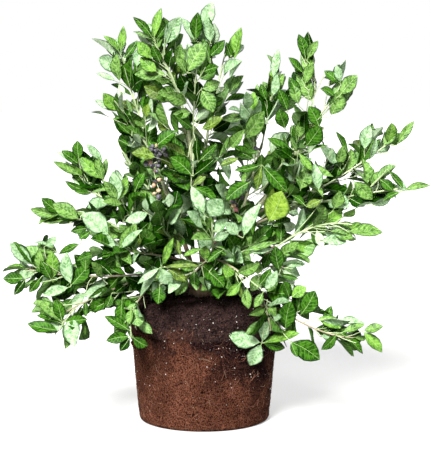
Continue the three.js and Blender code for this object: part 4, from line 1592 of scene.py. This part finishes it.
def addLimb(name, shoot):
    # a tapered bezier curve that sets out as the limb does and swings past its tip before it ends
    deselect()
    bpy.ops.curve.primitive_bezier_curve_add()
    limb = bpy.context.object
    limb.name = name
    curve = limb.data
    curve.dimensions = "3D"
    curve.resolution_u = woodLook["curveSteps"]
    curve.bevel_depth = millimetre
    curve.bevel_resolution = woodLook["curveSides"]
    curve.use_fill_caps = True
    start, control, end = (Vector(point * millimetre) for point in shoot.points)
    first, last = curve.splines[0].bezier_points
    for point, place, thick in ((first, start, shoot.foot), (last, end, shoot.tip)):
        ahead = (control - place) * 2 / 3
        point.handle_left_type = point.handle_right_type = "FREE"
        point.co = place
        point.handle_left = place - ahead
        point.handle_right = place + ahead
        point.radius = thick / 2
    bpy.ops.object.convert(target="MESH")
    return bpy.context.object


def addWood():
    # all limbs and the low woody knuckle they leave, in one skin
    look = woodLook
    parts = [addLimb(name, shoot) for name, shoot in limbs.items()]
    rings = [(radius, ball["soilHeight"] + rise) for radius, rise in look["crownRings"]]
    parts.append(drawnUp("crown", rings, look["crownCorners"]))
    deselect()
    for part in parts:
        part.select_set(True)
    bpy.context.view_layer.objects.active = parts[0]
    bpy.ops.object.join()
    wood = bpy.context.object
    wood.name = wood.data.name = "wood"
    settle()
    oneSkin(wood, look["voxel"])
    applyRelief(wood, "barkRidges", *look["relief"])
    bpy.ops.object.shade_smooth()
    finishPiece(wood, bark)
    return wood


wood = addWood()
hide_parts("root_crown", *canes, *boughs)
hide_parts(*["mass_" + name for name in masses])


berryLook = {
    "radius": (3.4, 5.0),
    "stalk": 12.0,
    "stalkRadii": (0.8, 0.7, 0.5),
    "turn": (0, 60),
    "droop": 0.7,
    "front": 0.8,
    "reach": (3.5, 9.0),
    "spread": (0.4, 1.2),
    "apart": 6.8,
    "tries": 12,
    "footFrom": 0.3,
    "footRise": 0.8,
    "footRadii": (0.5, 0.4, 0.5),
    "footInside": 0.6,
    "segments": 10,
    "crownRow": 5,
    "crownPoints": 5,
    "crownDepth": 0.10,
    "end": 0.8,
    "profile": (
        (0.42, -0.91), (0.82, -0.57), (1.0, 0.0), (0.84, 0.56), (0.55, 0.86), (0.44, 1.06), (0.30, 0.90),
    ),
    "sharpAngle": 50.0,
    "stalkSides": 4,
    "seed": 991,
}
berryBloom = {"Grain": 900.0, "Sharp": 0.2, "bump": (0.15, 0.0003)}
berryKinds = {
    "ripeBerry": {
        "low": (0.010, 0.009, 0.013), "high": (0.15, 0.14, 0.17), "roughness": 0.5, "scale": 150,
    },
    "ripeningBerry": {
        "low": (0.16, 0.035, 0.060), "high": (0.52, 0.20, 0.20), "roughness": 0.45, "scale": 120,
    },
    "unripeBerry": {
        "low": (0.50, 0.26, 0.15), "high": (0.66, 0.50, 0.34), "roughness": 0.45, "scale": 120,
    },
}


def berryMaterial(name, low, high, roughness, scale):
    # bloom in soft patches over the skin
    material, tree, shader = newMaterial(name, roughness)
    finish = berryBloom
    tone = useGroup(
        tree, patches, (-900, 200), Scale=scale, Grain=finish["Grain"], Sharp=finish["Sharp"]
    )
    feed(tree, shader.inputs["Base Color"], blendColours(tree, tone["Patch"], low, high, (-400, 200)))
    addBump(tree, shader, tone["Fine"], *finish["bump"])
    return material


def berryTemplate():
    # across, other and along of each point of a berry, with the pointed crown at its end
    look = berryLook
    segments = look["segments"]
    turns = np.linspace(0, fullTurn, segments, endpoint=False)
    points = look["crownDepth"] * np.cos(turns * look["crownPoints"])
    spots = [(0.0, 0.0, -1.0)]
    for row, (wide, along) in enumerate(look["profile"]):
        crown = 1 + points * (row == look["crownRow"])
        spots += list(zip(wide * crown * np.cos(turns), wide * crown * np.sin(turns), along * crown))
    spots.append((0.0, 0.0, look["end"]))
    last = len(spots) - 1
    faces = []
    for j in range(segments):
        k = (j + 1) % segments
        faces.append((0, 1 + k, 1 + j))
        for row in range(len(look["profile"]) - 1):
            low = 1 + row * segments
            faces.append((low + j, low + k, low + segments + k, low + segments + j))
        faces.append((last - segments + j, last - segments + k, last))
    return np.array(spots), faces


def growBunch(shoot, root, run, count, draw):
    # centre, radius, heading and side of each berry round its stalk, and the small stalks
    look = berryLook
    berries, stalks, centres = [], [], []
    for i in range(count):
        for _ in range(look["tries"]):
            away = unit(np.array([draw((-1, 1)) for _ in range(3)])) * draw(look["reach"])
            centre = root + run * draw(look["spread"]) + away
            if all(np.linalg.norm(centre - other) > look["apart"] for other in centres):
                break
        centres.append(centre)
        radius = draw(look["radius"])
        foot = root + run * min(1.0, look["footFrom"] + i / count)
        axis = unit(centre - foot)
        middle = mix(foot, centre, 0.5) + up * look["footRise"]
        end = centre - axis * radius * look["footInside"]
        stalks.append(([foot, middle, end], look["footRadii"], shoot.side))
        berries.append((centre, radius, axis, shoot.side, draw((0, 1))))
    return berries, stalks


def growBerries():
    # all berries, each with its ripeness, and the stalks they hang on
    look = berryLook
    draw = drawsFrom(look["seed"])
    berries, stalks = [], []
    for shoot, clusters in bunches:
        for number, (place, count, ripe, ripening) in enumerate(clusters):
            root = shoot.onLine(place)
            radial = shoot.radial(place, math.radians(goldenAngle * number + draw(look["turn"])))
            run = unit(radial - up * look["droop"] - back * look["front"]) * look["stalk"]
            stalks.append(([root, root + run * 0.5 + radial, root + run], look["stalkRadii"], shoot.side))
            bunch, feet = growBunch(shoot, root, run, count, draw)
            stalks += feet
            for *berry, finish in bunch:
                kind = 0 if finish < ripe else 1 if finish < ripe + ripening else 2
                berries.append((*berry, kind))
    return berries, stalks


def addBerries():
    berries, stalks = growBerries()
    template, faceTable = berryTemplate()
    points, finishes = [], []
    for centre, radius, axis, side, kind in berries:
        across = unit(np.cross(axis, side))
        points.append(centre + template @ np.array([across, np.cross(axis, across), axis]) * radius)
        finishes += [kind] * len(faceTable)
    faces = copiedFaces(faceTable, len(template), len(berries))
    kinds = [berryMaterial(name, **look) for name, look in berryKinds.items()]
    angle = berryLook["sharpAngle"]
    fruit = meshPiece("berries", np.concatenate(points), faces, kinds, finishes, sharpAngle=angle)
    stalkPiece = tubeMesh("berry_stalks", stalks, youngBark, berryLook["stalkSides"])


addBerries()


ballLook = {
    "around": 360,
    "rows": 88,
    "foot": ((-5, 0), (-1.5, 1.6), (0.4, 5)),
    "rough": (4.0, 164.9),
    "reliefs": {"lumps": (3.0, 0.03), "roots": (1.5, 0.011), "fibres": (0.9, 0.0032)},
    "sharpAngle": 60.0,
}

# rings of the soil: beyond the wall, from the shoulder's radius, as its shares, and by radius,
# each with a height from the foot of the soil or from its top
soilLook = {
    "corners": 240,
    "voxel": 2.0,
    "reliefs": {"soilLumps": (5.6, 0.017), "soilCrumbs": (3.0, 0.0052)},
    "sunk": 1.0,
    "lip": ((-0.5, 0), (1.2, 6)),
    "shoulder": ((1, -12), (-4, -5)),
    "cap": ((0.9, 0), (0.75, 3), (0.55, 5), (0.35, 3)),
    "dip": ((36, 1), (18, 1)),
}

# the colours run from damp, dark soil at the top down to dry brown roots, and the dark reaches lower
# towards the right, a painted shade under the leaves
earthLook = {
    "dampAndShade": {"patch": 0.045, "turn": 0.40, "from": 0.100, "to": 0.205},
    "roots": {"Scale": 18.0, "Grain": 480.0, "Sharp": 0.07},
    "crumbs": {"Scale": 210.0, "Grain": 520.0, "Sharp": 0.07},
    "pits": (380.0, 0.15, 0.62),
    "brown": ((0.082, 0.025, 0.012), (0.004, 0.001, 0.0005)),
    "warm": (0.168, 0.063, 0.037),
    "less": 0.4,
    "dark": ((0.040, 0.016, 0.014), (0.003, 0.001, 0.001)),
    "soil": ((0.002, 0.001, 0.001), (0.024, 0.012, 0.011)),
    "grains": (0.056, 0.030, 0.027),
    "rootBump": (0.7, 0.0014),
    "soilBump": (0.8, 0.0015),
}


def dampAndShadeMask(tree):
    # 0 where the roots are dry and brown, 1 where the soil is damp and dark, and where shade is painted
    # towards the right
    look = earthLook["dampAndShade"]
    _, parts = coordinates(tree, "Object")
    broad = useGroup(tree, patches, (-1300, 500), **earthLook["roots"])["Patch"]
    edge = compute(tree, "MULTIPLY_ADD", broad, look["patch"], parts["Z"], place=(-1200, 300))
    # painted shade: the dark edge sinks lower towards the right (+X)
    turned = compute(tree, "MULTIPLY_ADD", parts["X"], look["turn"], edge, place=(-1050, 300))
    return softStep(tree, turned, look["from"], look["to"], (-900, 300))


def rootColours(tree, tone):
    # matted roots full of small pits: the dry colour and the damp one
    scale, low, high = earthLook["pits"]
    where, _ = coordinates(tree, "Object", (-1500, -300))
    cells = addNode(tree, "ShaderNodeTexVoronoi", (-1100, -150), Scale=scale, Randomness=1.0)
    feed(tree, cells.inputs["Vector"], where)
    pit = spanned(tree, cells.outputs["Distance"], (low, high), place=(-900, -150))
    brown = blendColours(tree, pit, *earthLook["brown"], (-650, 100))
    warm = blendColours(tree, tone["Fine"], brown, earthLook["warm"], (-450, 150))
    less = compute(tree, "MULTIPLY", tone["Patch"], earthLook["less"], place=(-450, 300))
    dry = blendColours(tree, less, warm, brown, (-250, 150))
    return dry, blendColours(tree, pit, *earthLook["dark"], (-450, -100))


def ballMaterial():
    material, tree, shader = newMaterial("rootMat", 0.95, 0.05)
    tone = useGroup(tree, patches, (-1300, 0), **earthLook["roots"])
    dry, dark = rootColours(tree, tone)
    feed(tree, shader.inputs["Base Color"], blendColours(tree, dampAndShadeMask(tree), dry, dark, (-50, 200)))
    addBump(tree, shader, tone["Fine"], *earthLook["rootBump"])
    return material


def soilMaterial():
    # crumbly dark soil that turns to the brown of the roots where it is dry; its dark reaches lower towards
    # the right, a painted shade
    material, tree, shader = newMaterial("soil", 0.95, 0.1)
    tone = useGroup(tree, patches, (-900, 100), **earthLook["crumbs"])
    near = blendColours(tree, tone["Patch"], *earthLook["soil"], (-500, 200))
    dampAndShade = blendColours(tree, tone["Fine"], near, earthLook["grains"], (-250, 200))
    dry, _ = rootColours(tree, useGroup(tree, patches, (-1300, 0), **earthLook["roots"]))
    feed(tree, shader.inputs["Base Color"], blendColours(tree, dampAndShadeMask(tree), dry, dampAndShade, (-50, 200)))
    addBump(tree, shader, tone["Fine"], *earthLook["soilBump"])
    return material


def turnedBlank(name, profile, rows):
    # a cylinder drawn in edit mode to a profile of (radius, height), cut into many level rows
    deselect()
    radii, heights = np.array(profile).T * millimetre
    low, high = heights[0], heights[-1]
    bpy.ops.mesh.primitive_cylinder_add(
        vertices=ballLook["around"], radius=radii[0], depth=high - low,
        location=(0, 0, (low + high) / 2), end_fill_type="NGON",
    )
    blank = bpy.context.object
    blank.name = blank.data.name = name
    settle()
    bpy.ops.object.mode_set(mode="EDIT")
    for i in range(1, rows):
        bpy.ops.mesh.select_all(action="SELECT")
        bpy.ops.mesh.bisect(plane_co=(0, 0, mix(low, high, i / rows)), plane_no=(0, 0, 1))
    bpy.ops.object.mode_set(mode="OBJECT")
    coords = np.zeros(len(blank.data.vertices) * 3)
    blank.data.vertices.foreach_get("co", coords)
    coords = coords.reshape(-1, 3)
    coords[:, :2] *= np.interp(coords[:, 2], heights, radii / radii[0])[:, None]
    blank.data.vertices.foreach_set("co", coords.ravel())
    return blank


def addRootBall():
    look, top = ballLook, ball["rootMatHeight"]
    profile = [(ball["footRadius"] + wider, height) for wider, height in look["foot"]]
    body = turnedBlank("rootMat", profile + [(wallRadius(top), top)], look["rows"])
    low, high = (height * millimetre for height in look["rough"])
    sides = body.vertex_groups.new(name="sides")
    sides.add([point.index for point in body.data.vertices if low < point.co.z < high], 1.0, "REPLACE")
    for name, (strength, size) in look["reliefs"].items():
        applyRelief(body, name, strength, size, where="sides")
    body.vertex_groups.clear()
    bpy.ops.object.shade_smooth_by_angle(angle=math.radians(look["sharpAngle"]))
    finishPiece(body, ballMaterial())
    return body


def addSoil():
    # the dark crumbly layer, with deep relief
    look = soilLook
    base, top, shoulder = ball["rootMatHeight"] - look["sunk"], ball["soilHeight"], ball["shoulderRadius"]
    middle = (base + top) / 2
    rings = [(wallRadius(base) + wider, base + rise) for wider, rise in look["lip"]]
    rings += [(wallRadius(middle) + ball["soilProud"], middle)]
    rings += [(shoulder + wider, top + rise) for wider, rise in look["shoulder"]]
    rings += [(shoulder * share, top + rise) for share, rise in look["cap"]]
    rings += [(radius, top + rise) for radius, rise in look["dip"]]
    soil = drawnUp("soilTop", rings, look["corners"])
    oneSkin(soil, look["voxel"])
    for name, (strength, size) in look["reliefs"].items():
        applyRelief(soil, name, strength, size)
    bpy.ops.object.shade_smooth()
    finishPiece(soil, soilMaterial())
    return soil


# the side under the relief by height and radius, the top by reach and height over the soil line
sideLine = ((0, 165, 170, 196.5, 216, 223), (120, 134.52, 135.72, 139.748, 137, 132))
topLine = ((0, 36, 74.8, 122.4, 136), (1, 1, 5, 0, -9))
edgeRule = {"from": 0.8, "lean": 3.0}

crumbRule = {
    "count": 6200, "size": (1.0, 4.0), "small": 2.5, "onTop": 0.42, "inward": (0.02, 1),
    "heights": (223.0, 139.0), "share": (0, 1), "power": 1.5, "proud": 0.2, "raised": 0.2,
    "flat": (0.35, 0.9),
}
perliteRule = {
    "count": 420, "size": (0.45, 1.35), "small": 2, "onTop": 0.25, "inward": (0.05, 1),
    "heights": (0.0, 223.0), "share": (0.01, 1), "power": 0.5, "proud": 0.6, "raised": 0.3,
    "flat": (0.5, 0.9),
}
chipRule = {"turn": (0, 6.28), "narrow": (0.6, 1.0), "uneven": (0.75, 1.2), "edge": 1.2}
fibreRule = {"count": 900, "proud": 0.1, "radius": (0.22, 0.48), "steps": (4, 11), "heights": (6, 196)}
strayRule = {"count": 60, "proud": 0.5, "radius": (0.2, 0.36), "steps": (4, 9), "heights": (20, 205)}
rootRule = {
    "stride": 3.6, "weave": 0.5, "weaveStep": 1.3, "wander": (-0.55, 0.55), "tip": 0.5,
    "side": (0.3, 0.4, 0.85), "sides": 3,
}
gritSeed = 5381

perliteLook = {
    "low": (0.50, 0.45, 0.42), "high": (0.86, 0.84, 0.80),
    "roughness": 0.8, "scale": 300, "grain": 1500, "bump": 0.3, "distance": 0.0004,
}
rootLook = {
    "low": (0.080, 0.026, 0.014), "high": (0.26, 0.105, 0.060),
    "roughness": 0.9, "scale": 90, "grain": 800, "bump": 0.2, "distance": 0.0003,
}
paleRootLook = {
    "low": (0.24, 0.14, 0.09), "high": (0.46, 0.34, 0.24),
    "roughness": 0.85, "scale": 90, "grain": 800, "bump": 0.2, "distance": 0.0003,
}


def outwards(turn):
    return np.array([math.cos(turn), math.sin(turn), 0.0])


def wallPoint(turn, height, proud):
    # a point on the side of the ball, and the way out of it
    out = outwards(turn)
    reach = float(np.interp(height, *sideLine)) + proud
    return out * reach + up * height, unit(out - up * ball["wallSlope"])


def topPoint(turn, reach):
    # a point on top of the soil, and the way out of it
    shoulder = ball["shoulderRadius"]
    height = ball["soilHeight"] + float(np.interp(reach, *topLine))
    lean = max(0.0, (reach - shoulder * edgeRule["from"]) / shoulder * edgeRule["lean"])
    return outwards(turn) * reach + up * height, up + outwards(turn) * lean


def scatter(rule, draw):
    # spots over the top and the sides of the ball, each with a size and a flatness
    spots = []
    for _ in range(rule["count"]):
        turn = draw((0, fullTurn))
        size = mix(*rule["size"], draw((0, 1)) ** rule["small"])
        if draw((0, 1)) < rule["onTop"]:
            spot, out = topPoint(turn, ball["shoulderRadius"] * math.sqrt(draw(rule["inward"])))
        else:
            height = mix(*rule["heights"], draw(rule["share"]) ** rule["power"])
            spot, out = wallPoint(turn, height, rule["proud"])
        spots.append((spot + unit(out) * size * rule["raised"], size, draw(rule["flat"])))
    return spots


def chipTemplate():
    # the twelve corners of an even lump and its twenty faces
    golden = (1 + math.sqrt(5)) / 2
    corners = [(0, 1, golden), (0, -1, golden), (0, 1, -golden), (0, -1, -golden)]
    corners += [(b, c, a) for a, b, c in corners] + [(c, a, b) for a, b, c in corners]
    corners = np.array(corners, dtype=float) / math.hypot(1, golden)
    faces = []
    for trio in combinations(range(len(corners)), 3):
        first, second, third = corners[list(trio)]
        edges = np.array([second - first, third - second, third - first])
        if np.linalg.norm(edges, axis=1).max() < chipRule["edge"]:
            outside = np.cross(second - first, third - first).dot(first) > 0
            faces.append(trio if outside else (trio[0], trio[2], trio[1]))
    return corners, faces


def chipMesh(name, spots, material, draw):
    # angular crumbs, each squeezed and turned its own way
    corners, faceTable = chipTemplate()
    points = []
    for spot, size, flat in spots:
        turn = Euler([draw(chipRule["turn"]) for _ in range(3)]).to_matrix()
        squeeze = np.array([1.0, draw(chipRule["narrow"]), flat])
        uneven = np.array([draw(chipRule["uneven"]) for _ in corners])
        points.append((corners * uneven[:, None] * squeeze * size) @ np.array(turn).T + spot)
    faces = copiedFaces(faceTable, len(corners), len(spots))
    return meshPiece(name, np.concatenate(points), faces, [material])


def rootTubes(draw, count, proud, radius, steps, heights):
    # thin roots that wander over the side of the ball
    rule = rootRule
    tubes = []
    for _ in range(count):
        turn, height = draw((0, fullTurn)), draw(heights)
        lean = draw((0, fullTurn))
        spots = []
        for step in range(int(draw(steps))):
            weave = rule["weave"] * math.sin(step * rule["weaveStep"] + lean)
            spots.append(wallPoint(turn, height, proud + weave)[0])
            lean += draw(rule["wander"])
            turn += math.cos(lean) * rule["stride"] / ball["shoulderRadius"]
            height = min(max(height + math.sin(lean) * rule["stride"], heights[0]), heights[1])
        thick = draw(radius)
        radii = np.linspace(thick, thick * rule["tip"], len(spots))
        tubes.append((spots, radii, unit(np.array(rule["side"]))))
    return tubes


def addGrit():
    # crumbs, perlite and fine roots, in this order of their draws
    draw = drawsFrom(gritSeed)
    crumbs, chips = scatter(crumbRule, draw), scatter(perliteRule, draw)
    perlite = plainMaterial("perlite", **perliteLook)
    rootBrown = plainMaterial("rootBrown", **rootLook)
    rootPale = plainMaterial("rootPale", **paleRootLook)
    crumbPiece = chipMesh("soil_crumbs", crumbs, soilTop.data.materials[0], draw)
    perlitePiece = chipMesh("perlite", chips, perlite, draw)
    brownTubes, paleTubes = rootTubes(draw, **fibreRule), rootTubes(draw, **strayRule)
    brownPiece = tubeMesh("root_fibres", brownTubes, rootBrown, rootRule["sides"])
    palePiece = tubeMesh("pale_roots", paleTubes, rootPale, rootRule["sides"])


rootMat = addRootBall()
soilTop = addSoil()
addGrit()
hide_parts("root_ball")
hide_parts("soil_top")
print("root ball made")
